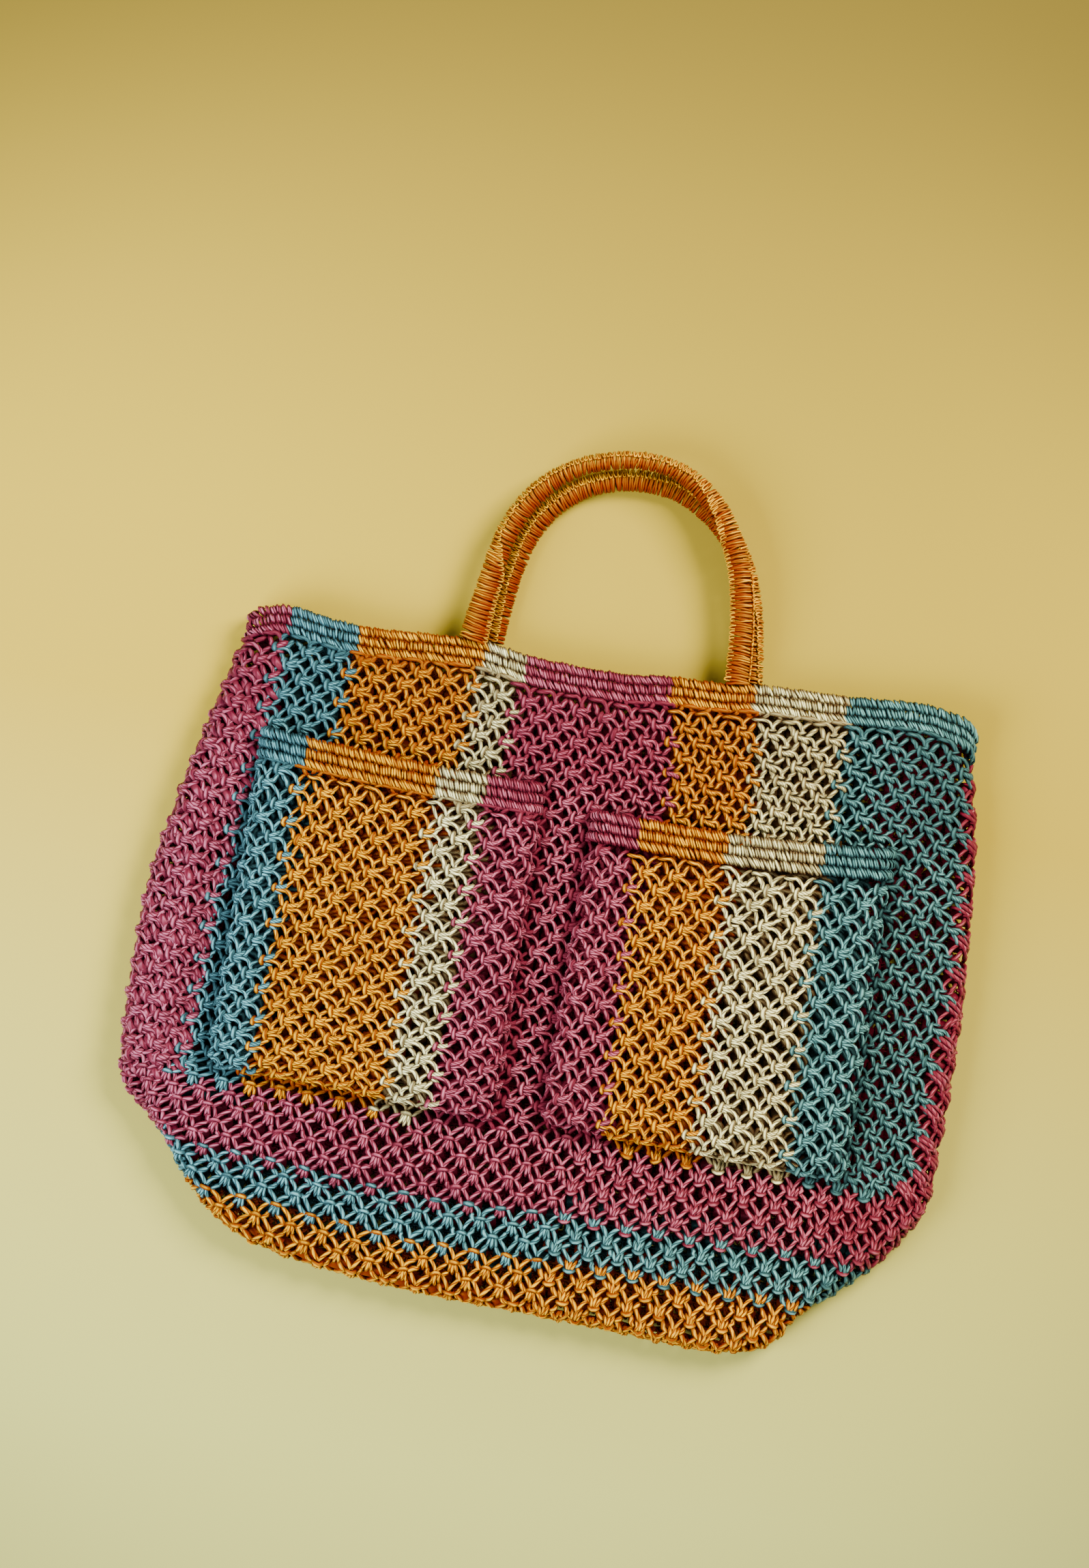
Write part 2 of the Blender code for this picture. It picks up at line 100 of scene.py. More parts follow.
# Handles, from the left end over the top to the right end: x, y, z, thickness as a share.
HANDLES = {
    "handle_front": (
        (-85.6, -1.0, 17.8, 1.28), (-84.2, 15.0, 17.6, 1.16), (-82.2, 30.0, 17.4, 1.05),
        (-80.0, 47.0, 17.2, 1.0), (-76.2, 62.0, 17.2, 1.0), (-68.5, 77.5, 17.2, 1.0),
        (-56.0, 91.0, 17.2, 1.0), (-39.0, 101.0, 17.2, 1.0), (-15.0, 107.0, 17.3, 1.0),
        (8.0, 104.5, 17.8, 1.0), (26.0, 93.5, 18.6, 1.0), (38.5, 78.0, 19.2, 1.0),
        (46.5, 62.0, 19.0, 1.0), (51.0, 45.0, 18.4, 1.0), (54.2, 25.0, 17.8, 1.02),
        (56.1, 0.2, 17.6, 1.07),
    ),
    "handle_back": (
        (-75.0, 0.6, 6.3, 1.0), (-73.8, 20.0, 6.2, 1.0), (-71.5, 39.0, 6.2, 1.0),
        (-66.5, 59.0, 6.2, 1.0), (-56.0, 77.0, 6.2, 1.0), (-40.0, 90.5, 6.2, 1.0),
        (-18.0, 98.0, 6.2, 1.0), (6.0, 97.5, 6.2, 1.0), (26.0, 88.5, 6.2, 1.0),
        (41.0, 75.0, 6.2, 1.0), (51.5, 58.0, 6.2, 1.0), (58.0, 38.0, 6.2, 1.0),
        (61.8, 18.0, 6.2, 1.0), (64.0, 3.0, 6.3, 1.0),
    ),
}
HANDLE_WIDE, HANDLE_THICK = 12.6, 12.0

# Height of the middle of the net: the front, the back and a pocket below their sheets' tops.
FRONT_TOP, BACK_MIDDLE, NET_DEPTH = 20.0, 2.6, 1.6
POCKET_TOP, POCKET_SHOULDER, POCKET_FOOT = 31.0, 23.4, 20.9
FOLD_REACH, FOLD_RADIUS = 10.0, 8.2
POCKET_ROLL, ROLL_RADIUS, ROLL_INSET = 8.0, 7.8, 0.8

# ---------------- where the knots lie

# Knots by half column and row of each net: the plan x and y of a few columns in a few rows.
# A knot is at every place whose column and row numbers add up to an even number, or an odd one.
SACK_NET = dict(
    odd=0,
    columns=(-30, -22, -14, -6, 2, 10, 18, 26),
    rows=(-4, 0, 4, 9, 14, 19, 24, 29, 33, 38),
    x=(
        (-232.1, -169.0, -108.9, -50.9, 2.0, 61.0, 127.1, 191.7),
        (-234.1, -170.2, -109.8, -51.5, 7.0, 64.6, 125.7, 192.3),
        (-235.8, -173.0, -111.2, -52.5, 9.0, 67.4, 124.9, 194.7),
        (-238.4, -177.2, -114.4, -53.1, 6.1, 63.9, 129.0, 198.3),
        (-241.9, -181.7, -118.1, -53.9, 7.8, 68.4, 133.7, 199.6),
        (-241.7, -183.0, -122.0, -56.0, 8.7, 72.0, 135.9, 197.7),
        (-240.6, -183.9, -127.1, -58.5, 9.9, 74.1, 137.5, 196.4),
        (-252.0, -201.0, -132.5, -61.5, 7.8, 73.7, 141.3, 201.1),
        (-262.0, -212.0, -135.5, -62.5, 5.1, 72.5, 141.6, 203.7),
        (-266.0, -214.5, -137.0, -65.0, 4.3, 73.5, 141.2, 204.7),
    ),
    y=(
        (-7.4, -6.1, -7.0, -11.6, -12.7, -7.8, -2.4, -0.9),
        (-39.4, -37.5, -38.1, -44.2, -45.6, -39.9, -33.8, -32.8),
        (-71.0, -69.8, -70.0, -75.5, -77.2, -72.0, -65.7, -64.6),
        (-113.0, -112.6, -112.5, -114.9, -115.9, -112.4, -107.1, -105.9),
        (-157.8, -157.4, -155.8, -157.2, -156.8, -153.4, -150.4, -151.1),
        (-199.7, -199.3, -197.7, -198.2, -196.7, -194.8, -194.1, -197.4),
        (-240.0, -239.2, -237.8, -238.9, -236.3, -236.2, -235.7, -241.1),
        (-276.0, -274.5, -275.4, -280.9, -276.6, -277.9, -275.2, -280.4),
        (-303.0, -300.0, -305.5, -312.0, -309.9, -309.6, -310.5, -313.0),
        (-343.0, -340.0, -346.0, -352.0, -351.7, -351.3, -353.6, -354.9),
    ),
)
POCKET_NETS = {
    "pocket_left": dict(
        odd=1,
        columns=(-18, -15, -10, -5, 0, 3),
        rows=(-1, 8, 11, 15, 20),
        x=(
            (-194.3, -171.4, -132.9, -91.8, -49.2, -25.0),
            (-193.2, -170.3, -132.1, -91.1, -48.6, -24.2),
            (-193.0, -170.1, -131.3, -90.5, -48.3, -24.0),
            (-192.5, -169.8, -130.4, -89.8, -48.0, -23.5),
            (-192.0, -169.0, -129.5, -89.0, -47.6, -23.0),
        ),
        y=(
            (-76.3, -76.5, -77.5, -79.6, -80.0, -80.0),
            (-156.4, -156.3, -156.4, -156.9, -156.7, -156.7),
            (-187.2, -185.9, -182.4, -182.8, -182.8, -182.8),
            (-219.5, -217.6, -213.2, -214.4, -214.9, -214.9),
            (-257.0, -255.0, -250.5, -252.6, -253.0, -253.0),
        ),
    ),
    "pocket_right": dict(
        odd=0,
        columns=(-8, -5, 0, 5, 9, 12),
        rows=(1, 7, 13, 17),
        x=(
            (-13.6, 9.9, 49.4, 92.0, 124.6, 148.6),
            (-9.3, 14.3, 52.6, 93.6, 127.1, 151.0),
            (-6.2, 17.2, 55.4, 96.1, 129.3, 153.5),
            (-4.5, 19.0, 56.5, 96.3, 133.9, 158.5),
        ),
        y=(
            (-107.2, -106.2, -104.9, -104.0, -102.4, -102.3),
            (-160.5, -159.9, -158.9, -158.8, -157.2, -157.5),
            (-212.9, -212.8, -210.6, -211.4, -211.9, -212.0),
            (-249.5, -249.5, -245.3, -247.5, -247.8, -248.0),
        ),
    ),
}

# ---------------- colours

# Per yarn: its own colour (body), the painted shade colour (deep) and the painted highlight colour
# (light).
YARNS = {
    "magenta": dict(
        body=(0.120, 0.0148, 0.030), deep=(0.070, 0.002, 0.012), light=(0.41, 0.122, 0.198)),
    "teal": dict(
        body=(0.030, 0.085, 0.104), deep=(0.004, 0.013, 0.018), light=(0.130, 0.360, 0.412)),
    "orange": dict(
        body=(0.200, 0.066, 0.002), deep=(0.140, 0.006, 0.000), light=(0.76, 0.408, 0.000)),
    "cream": dict(
        body=(0.200, 0.183, 0.093), deep=(0.065, 0.024, 0.008), light=(0.98, 1.000, 0.545)),
}

# Colour stripes of the sack, left to right, and the half column where each one ends. The knots of
# that column are the stripe's own, with the next stripe's colour in their loops and right links.
STRIPES = (
    ("side_left", "magenta"), ("left_teal", "teal"), ("left_orange", "orange"),
    ("left_cream", "cream"), ("middle", "magenta"), ("right_orange", "orange"),
    ("right_cream", "cream"), ("right_teal", "teal"), ("side_right", "magenta"),
)
STRIPE_ENDS = (-24, -19, -10, -7, 5, 11, 17)
SIDE_END, SIDE_TURN, BACK_SIDE_END = 25, 24, 19
BASE_STRIPES = (("base_magenta", "magenta"), ("base_teal", "teal"), ("base_orange", "orange"))
# The base's stripes run across: the first row of each, and where its knots turn over.
BASE_ROWS = (27, 32, 35)
BASE_TURN = 2

# Each pocket's stripes, left to right: their colours, the x where each bar colour ends, and the
# half column where each stripe of knots ends.
POCKET_STRIPES = {
    "pocket_left": (
        ("teal", "orange", "cream", "magenta"), (-161.0, -91.0, -65.0), (-14, -5, -2),
    ),
    "pocket_right": (
        ("magenta", "orange", "cream", "teal"), (19.0, 65.5, 116.5), (-4, 2, 8),
    ),
}
MOUTH_COLOURS = ("magenta", "teal", "orange", "cream", "magenta", "orange", "cream", "teal")
MOUTH_COLOUR_ENDS = (-182.0, -144.5, -77.0, -55.0, 22.5, 66.5, 116.0)

# ---------------- knot shapes

# Each strand of a knot: its role, its radius, how many rings it has, how many plies it shows and
# the length of one turn of them where they are not its role's own, and its points. A right or left
# strand is a link to the next knot down on that side; the others end in their own knot. A point is
# the share of the way to that next knot, then how far it stands off that place: right, up, out of
# the net.
PLIES_BY_ROLE = {
    "loop": (2, 40.0), "bar": (3, 14.0), "right": (3, 18.0), "left": (3, 18.0), "slack": (3, 18.0),
}
STRIPE_KNOT = (
    ("loop", 1.18, 6, (
        (0, -1.6, 3.0, -0.7), (0, -2.6, 2.2, 0.9), (0, -3.0, 0.2, 1.7),
        (0, -2.7, -1.8, 1.1), (0, -1.8, -2.9, -0.7))),
    ("bar", 1.30, 7, 5, 9.0, (
        (0, -2.3, 0.0, 0.3), (0, -0.8, 0.7, 1.3), (0, 1.0, 1.2, 1.5),
        (0, 2.7, 1.9, 1.1), (0, 3.7, 3.0, 0.1))),
    ("bar", 0.92, 5, (
        (0, -2.2, -1.7, 0.0), (0, -0.8, -2.0, 0.9), (0, 0.9, -2.1, 0.9),
        (0, 2.2, -2.4, 0.1))),
    ("right", 1.00, 11, (
        (0, -2.4, -0.6, 0.2), (0, -0.4, -0.6, 1.4), (0, 1.8, -0.5, 1.4),
        (0, 4.1, -0.4, 1.0), (0.5, 2.5, 2.2, 0.7), (0.75, 1.9, 1.9, 0.5),
        (1, 0.3, 2.7, 0.6), (1, -0.7, 1.4, -0.5))),
    ("right", 1.12, 7, (
        (0, 0.4, -1.4, -0.8), (0, 1.2, -3.1, 0.2), (0.5, -1.1, -1.1, 0.5),
        (1, -4.3, 1.0, 0.3), (1, -2.6, 0.1, -0.7))),
    ("left", 1.02, 8, (
        (0, -2.2, 0.4, -0.6), (0, -4.3, -0.1, 0.0), (0.45, -3.0, 1.6, 0.5),
        (0.75, -1.8, 1.9, 0.5), (1, 1.0, 2.7, 0.5), (1, 0.7, 1.2, -0.6))),
    ("left", 1.12, 7, (
        (0, -0.5, -1.6, -0.8), (0, -1.2, -3.3, 0.2), (0.5, 0.9, -1.2, 0.6),
        (1, 3.9, 1.2, 0.8), (1, 1.8, 0.6, -0.3))),
)

# The knots of the base are turned: the loop lies across, with strands fanning off it.
BASE_FAN = (
    ("loop", 1.18, 6, (
        (0, -2.6, 0.9, -0.7), (0, -1.5, 2.0, 1.1), (0, 0.1, 2.3, 1.7),
        (0, 1.7, 1.9, 1.1), (0, 2.6, 0.8, -0.7))),
    ("bar", 0.95, 6, (
        (0, -0.9, 2.0, 0.0), (0, -1.2, 0.6, 1.2), (0, -1.8, -1.7, 1.2), (0, -2.7, -4.2, -0.2))),
    ("bar", 1.0, 6, (
        (0, 0.0, 2.0, 0.2), (0, -0.1, 0.4, 1.5), (0, 0.1, -2.0, 1.5), (0, 0.0, -4.8, -0.2))),
    ("bar", 0.95, 6, (
        (0, 1.0, 2.0, 0.0), (0, 1.3, 0.5, 1.2), (0, 1.9, -1.8, 1.2), (0, 2.7, -4.1, -0.2))),
)
BASE_LINKS = (
    ("right", 1.05, 8, (
        (0, 2.2, 1.4, -0.6), (0, 4.3, 0.5, 0.4), (0.5, 2.4, 2.0, 0.8),
        (0.8, 1.4, 1.7, 0.6), (1, -0.5, 2.6, -0.6))),
    ("right", 1.12, 7, (
        (0, 1.2, -2.2, -0.6), (0, 2.7, -4.0, 0.2), (0.55, -1.4, -0.7, 0.5),
        (1, -3.2, 0.9, 0.2), (1, -1.8, 0.4, -0.7))),
)

# A plainer knot, for the net under the pockets and for the back.
PLAIN_KNOT = (
    ("loop", 1.35, 4, (
        (0, -1.7, 3.0, -0.5), (0, -2.9, 1.2, 1.4), (0, -2.9, -1.2, 1.4), (0, -1.7, -3.0, -0.5))),
    ("bar", 1.35, 4, 4, 9.0, (
        (0, -2.6, 0.2, 0.2), (0, -0.6, 0.9, 1.4), (0, 2.0, 1.4, 1.3), (0, 3.9, 2.9, 0.0))),
    ("right", 1.22, 5, (
        (0, -2.4, -1.0, 0.2), (0, 3.6, -0.6, 1.3), (0.6, 2.2, 2.2, 0.7), (1, -0.4, 1.9, -0.3))),
    ("right", 1.25, 4, (
        (0, 0.3, -1.4, -0.6), (0.3, -0.9, -0.9, 0.5), (0.7, -1.4, -0.3, 0.5), (1, -3.0, 0.3, -0.6))),
    ("left", 1.22, 4, (
        (0, -2.2, 0.2, -0.6), (0.4, -2.9, 1.5, 0.6), (0.8, -1.2, 1.8, 0.5), (1, 0.8, 1.3, -0.6))),
    ("left", 1.25, 4, (
        (0, -0.4, -1.6, -0.8), (0.35, 0.7, -1.1, 0.6), (0.75, 1.3, -0.4, 0.8), (1, 2.2, 0.8, -0.3))),
)
# The back's knots have their slack too, drawn across the hole below on the inside, dark with painted
# shade.
SLACK = (
    ("slack", 3.7, 3, ((0, -6.6, -8.2, -2.4), (0, 0.0, -8.9, -2.8), (0, 6.6, -8.4, -2.4))),
)
# The side folds are puffed up, with strands that fill the hole below each knot.
FILL = (
    ("slack", 1.60, 5, 3, 16.0, (
        (0, -3.4, -4.6, -1.2), (0, -2.2, -7.0, 0.1), (0, 0.9, -9.4, 0.3), (0, 2.9, -12.4, -1.2))),
    ("slack", 1.30, 5, 3, 16.0, (
        (0, 0.2, -4.4, -1.2), (0, 1.9, -6.0, 0.2), (0, 3.7, -8.2, 0.1), (0, 5.2, -9.8, -1.2))),
    ("slack", 1.30, 5, 3, 16.0, (
        (0, -5.4, -7.6, -1.2), (0, -3.9, -9.6, 0.1), (0, -2.0, -11.3, 0.1), (0, -0.7, -13.4, -1.2))),
)
# Under the pockets only its larger strands show.
HIDDEN_KNOT = PLAIN_KNOT[1:]
BACK_KNOT = PLAIN_KNOT + SLACK
PUFFY_KNOT = STRIPE_KNOT + FILL
# Down the right side the fold's strands lie in slanting bundles, across the gaps between the knots,
# turned over like every knot right of the middle.
EDGE_KNOT = STRIPE_KNOT[3:] + (
    ("bar", 1.15, 6, 3, 12.0, (
        (0, -8.6, -3.4, -1.0), (0, -4.8, -2.2, 0.8), (0, 0.2, 1.2, 1.4), (0, 4.0, 6.2, -0.4))),
    ("bar", 1.25, 6, 3, 12.0, (
        (0, -6.6, -5.6, -1.0), (0, -3.2, -3.9, 1.1), (0, 1.5, -0.6, 1.8), (0, 5.4, 4.0, -0.2))),
    ("bar", 1.10, 6, 3, 12.0, (
        (0, -4.2, -6.6, -1.0), (0, -1.2, -5.2, 1.0), (0, 2.6, -2.4, 1.7), (0, 6.2, 1.4, -0.2))),
    # Its thick slack lies deep inside the fold, dark with painted shade.
    ("slack", 3.4, 3, ((0, -7.0, 8.2, -4.4), (0, 0.0, 9.0, -4.6), (0, 5.5, 8.6, -4.0))),
)


def to_the_left(strand):
    """The same link on the other side of its knot."""
    _, *looks, points = strand
    return ("left", *looks, tuple((share, -x, y, z) for share, x, y, z in points))


BASE_KNOT = BASE_FAN + BASE_LINKS + tuple(to_the_left(strand) for strand in BASE_LINKS)
KNOTS = (STRIPE_KNOT, BASE_KNOT, HIDDEN_KNOT, BACK_KNOT, PUFFY_KNOT, EDGE_KNOT)
ON_STRIPE, ON_BASE, UNDER_POCKET, AT_BACK, ON_LEFT_FOLD, ON_RIGHT_FOLD = range(len(KNOTS))
# Past the edges of a net there is no knot.
GONE = 99
# How thick a strand stays at its ends, by its place among its role's strands in a knot.
ENDS_BY_ROLE = {
    "loop": (0.85,), "bar": (0.7, 0.6, 0.6), "right": (0.7, 0.42), "left": (0.65, 0.42),
    "slack": (0.85, 0.6, 0.6),
}


def only_links(shape):
    """The shape of a knot that is out of sight and has only its links."""
    return -1 - shape


# ---------------- plan helpers

# Points measured against the inner line at one time.
BLOCK = 20000
# How far the inner line is carried on past the mouth.
PAST_MOUTH = 60.0


def unit(vectors):
    return vectors / np.maximum(np.linalg.norm(vectors, axis=-1), TINY)[..., None]


def with_height(flat, height):
    """Points or ways in space, of their plan part and their height."""
    return np.concatenate([flat, height[..., None]], axis=-1)


def smooth_line(points, steps=16):
    """A smooth line through the points, as many short steps."""
    points = np.array(points, float)
    held = np.vstack([points[:1], points, points[-1:]])
    step = np.linspace(0.0, 1.0, steps, endpoint=False)[:, None]
    runs = []
    for a, b, c, d in zip(held, held[1:], held[2:], held[3:]):
        bend = (2 * a - 5 * b + 4 * c - d) * step**2 + (3 * b - a - 3 * c + d) * step**3
        runs.append(0.5 * (2 * b + (c - a) * step + bend))
    return np.vstack([*runs, points[-1:]])


MOUTH_LINE = smooth_line(MOUTH_EDGE)


def mouth_edge(x):
    return np.interp(x, MOUTH_LINE[:, 0], MOUTH_LINE[:, 1])


def mouth_low(x):
    """The lower edge of the mouth's band."""
    return mouth_edge(x) - MOUTH_BAND_TALL


def fold_rise(folds, x, y):
    """How far the soft folds lift the plan points x, y."""
    rise = np.zeros(np.shape(x))
    for x0, y0, x1, y1, half_width, height in folds:
        along = np.array([x1 - x0, y1 - y0])
        share = np.clip(((x - x0) * along[0] + (y - y0) * along[1]) / along.dot(along), 0.0, 1.0)
        away = np.hypot(x - x0 - share * along[0], y - y0 - share * along[1]) / half_width
        rise += height * 0.5 * (1.0 + np.cos(math.pi * np.minimum(away, 1.0)))
    return rise


def inner_line():
    """The line where the flat front turns into the side folds, carried on past the mouth."""
    line = smooth_line(OUTLINE, 5)
    turn = unit(np.gradient(line, axis=0))
    inner = line + FOLD_REACH * np.stack([-turn[:, 1], turn[:, 0]], axis=1)
    inner[0] = (line[0, 0] + FOLD_REACH, line[0, 1])
    inner[-1] = (line[-1, 0] - FOLD_REACH, line[-1, 1])
    return np.vstack([inner[:1] + (0.0, PAST_MOUTH), inner, inner[-1:] + (0.0, PAST_MOUTH)])


INNER = inner_line()


def past_the_line(x, y):
    """How far each plan point is past the inner line, the nearest point on it, and the way out."""
    flat = np.stack([np.ravel(x), np.ravel(y)], axis=1)
    a, span = INNER[:-1], np.diff(INNER, axis=0)
    size = (span**2).sum(1)
    past, near, out = np.empty(len(flat)), np.empty_like(flat), np.empty_like(flat)
    for start in range(0, len(flat), BLOCK):
        block = slice(start, start + BLOCK)
        p = flat[block]
        rel = p[:, None] - a[None]
        share = np.clip((rel * span).sum(2) / size, 0.0, 1.0)
        away = rel - share[..., None] * span
        gap = (away**2).sum(2)
        best = gap.argmin(1)
        row = np.arange(len(p))
        way, turned = away[row, best], span[best]
        outside = turned[:, 1] * way[:, 0] - turned[:, 0] * way[:, 1] > 0
        length = np.sqrt(gap[row, best])
        past[block] = np.where(outside, length, -length)
        near[block] = p - way
        out[block] = way / np.maximum(length, TINY)[:, None]
    shape = np.shape(x)
    return past.reshape(shape), near.reshape(*shape, 2), out.reshape(*shape, 2)


def place_on_sack(points, side):
    """Points of the unrolled net (x, y, height off it) as solid points, and the net's way out there.

    side is 1 on the front and -1 on the back.
    """
    x, y, height = points[..., 0], points[..., 1], points[..., 2]
    past, near, out = past_the_line(x, y)
    over = np.maximum(past, 0.0)
    on_flat = (past <= 0.0)[..., None]
    base = np.where(on_flat, points[..., :2], near)
    out = np.where(on_flat, 0.0, out)
    front = FRONT_TOP - NET_DEPTH + fold_rise(FRONT_FOLDS, base[..., 0], base[..., 1])
    middle, half = (front + BACK_MIDDLE) / 2, (front - BACK_MIDDLE) / 2
    angle = over / FOLD_RADIUS
    reach = (FOLD_REACH - NET_DEPTH) * np.sin(angle)
    flat = base + out * reach[..., None]
    way = with_height(out * np.sin(angle)[..., None], side * np.cos(angle))
    solid = with_height(flat, middle + side * half * np.cos(angle))
    return solid + way * height[..., None], way


def pocket_edges(name, x, y):
    """x of the pocket's sides at height y, y of its foot at x, and x's share of the way across."""
    left_top, right_top, left_foot, right_foot, band_left, _, _, low_left, low_right = POCKETS[name]
    down = np.clip((band_left - y) / (band_left - low_left), 0.0, 1.0)
    left = left_top + down * (left_foot - left_top)
    right = right_top + down * (right_foot - right_top)
    share = np.clip((x - left) / (right - left), 0.0, 1.0)
    return left, right, low_left + share * (low_right - low_left), share


def band_top(name, x, y):
    """The upper edge of a pocket's band at x, with the pocket's sides taken at height y."""
    band_left, band_right, sag = POCKETS[name][4:7]
    share = pocket_edges(name, x, y)[3]
    return band_left + share * (band_right - band_left) + sag * np.sin(math.pi * share)


def past_the_pocket(name, x, y):
    """How far each plan point is past the pocket's flat middle, in all, across and down."""
    left, right, low, _ = pocket_edges(name, x, y)
    across = np.maximum(x - right + POCKET_ROLL, 0.0) - np.maximum(left + POCKET_ROLL - x, 0.0)
    down = -np.maximum(low + POCKET_ROLL - y, 0.0)
    return np.hypot(across, down), across, down


def place_on_pocket(points, name):
    """The same for a pocket's net, which rolls down to the front at its sides and foot."""
    x, y, height = points[..., 0], points[..., 1], points[..., 2]
    past, across, down = past_the_pocket(name, x, y)
    beyond = np.stack([across, down], axis=-1)
    out = beyond / np.maximum(past, TINY)[..., None]
    base = points[..., :2] - beyond
    top = POCKET_TOP - NET_DEPTH + fold_rise(POCKET_FOLDS, base[..., 0], base[..., 1])
    angle = np.minimum(past / ROLL_RADIUS, math.pi / 2)
    drop = np.maximum(past - ROLL_RADIUS * math.pi / 2, 0.0)
    flat = base + out * ((POCKET_ROLL - ROLL_INSET) * np.sin(angle))[..., None]
    shoulder = POCKET_SHOULDER - NET_DEPTH
    z = np.maximum(shoulder + (top - shoulder) * np.cos(angle) - drop, POCKET_FOOT)
    way = with_height(out * np.sin(angle)[..., None], np.cos(angle))
    return with_height(flat, z) + way * height[..., None], way


def table_slots(keys, at):
    """The slot of a table that each value of at falls in, and its share of the way across it.

    Past the table's ends the first and last slots are carried on.
    """
    keys = np.array(keys, float)
    slot = np.clip(np.searchsorted(keys, at, side="right") - 1, 0, len(keys) - 2)
    return slot, (at - keys[slot]) / (keys[slot + 1] - keys[slot])


def net_places(net, columns, rows):
    """Plan points of every half column and row of a net, as (columns, rows, 2)."""
    out = np.empty((len(columns), len(rows), 2))
    col_slot, col_share = table_slots(net["columns"], columns)
    row_slot, row_share = table_slots(net["rows"], rows)
    row_share = row_share[:, None]
    for k, table in enumerate((net["x"], net["y"])):
        table = np.array(table)
        wide = table[:, col_slot] * (1 - col_share) + table[:, col_slot + 1] * col_share
        out[:, :, k] = (wide[row_slot] * (1 - row_share) + wide[row_slot + 1] * row_share).T
    return out


# ---------------- yarn meshes

# Painted shade on a strand: at its sides, by how far it faces out or in, and below a height out of
# cloth, over how far down and at most by how much.
DEEP_SIDE, DEEP_TURN, DEEP_TURN_IN = 0.36, 0.60, 1.0
DEEP_HEIGHT, DEEP_REACH, DEEP_MOST = 0.5, 1.8, 0.6
# The least and the most painted shade that a strand is kept to.
DEEP_SPAN = (-0.4, 1.5)
# How suddenly a strand thins towards its ends.
TAPER_POWER = 2.5
# How far a strand's fibres may be moved along it, and the turn of plies that lie side by side.
FIBRE_START, SIDE_BY_SIDE = 9.0, 0.35


def spline_weights(count, samples):
    """How much each of count points gives each of samples places along a smooth line."""
    own = np.eye(count)
    held = np.vstack([2 * own[:1] - own[1:2], own, 2 * own[-1:] - own[-2:-1]])
    at = np.linspace(0.0, count - 1, samples)
    slot = np.minimum(at.astype(int), count - 2)
    t = (at - slot)[:, None]
    a, b, c, d = (held[slot + k] for k in range(4))
    return 0.5 * (2 * b + (c - a) * t + (2 * a - 5 * b + 4 * c - d) * t**2
                  + (3 * b - a - 3 * c + d) * t**3)


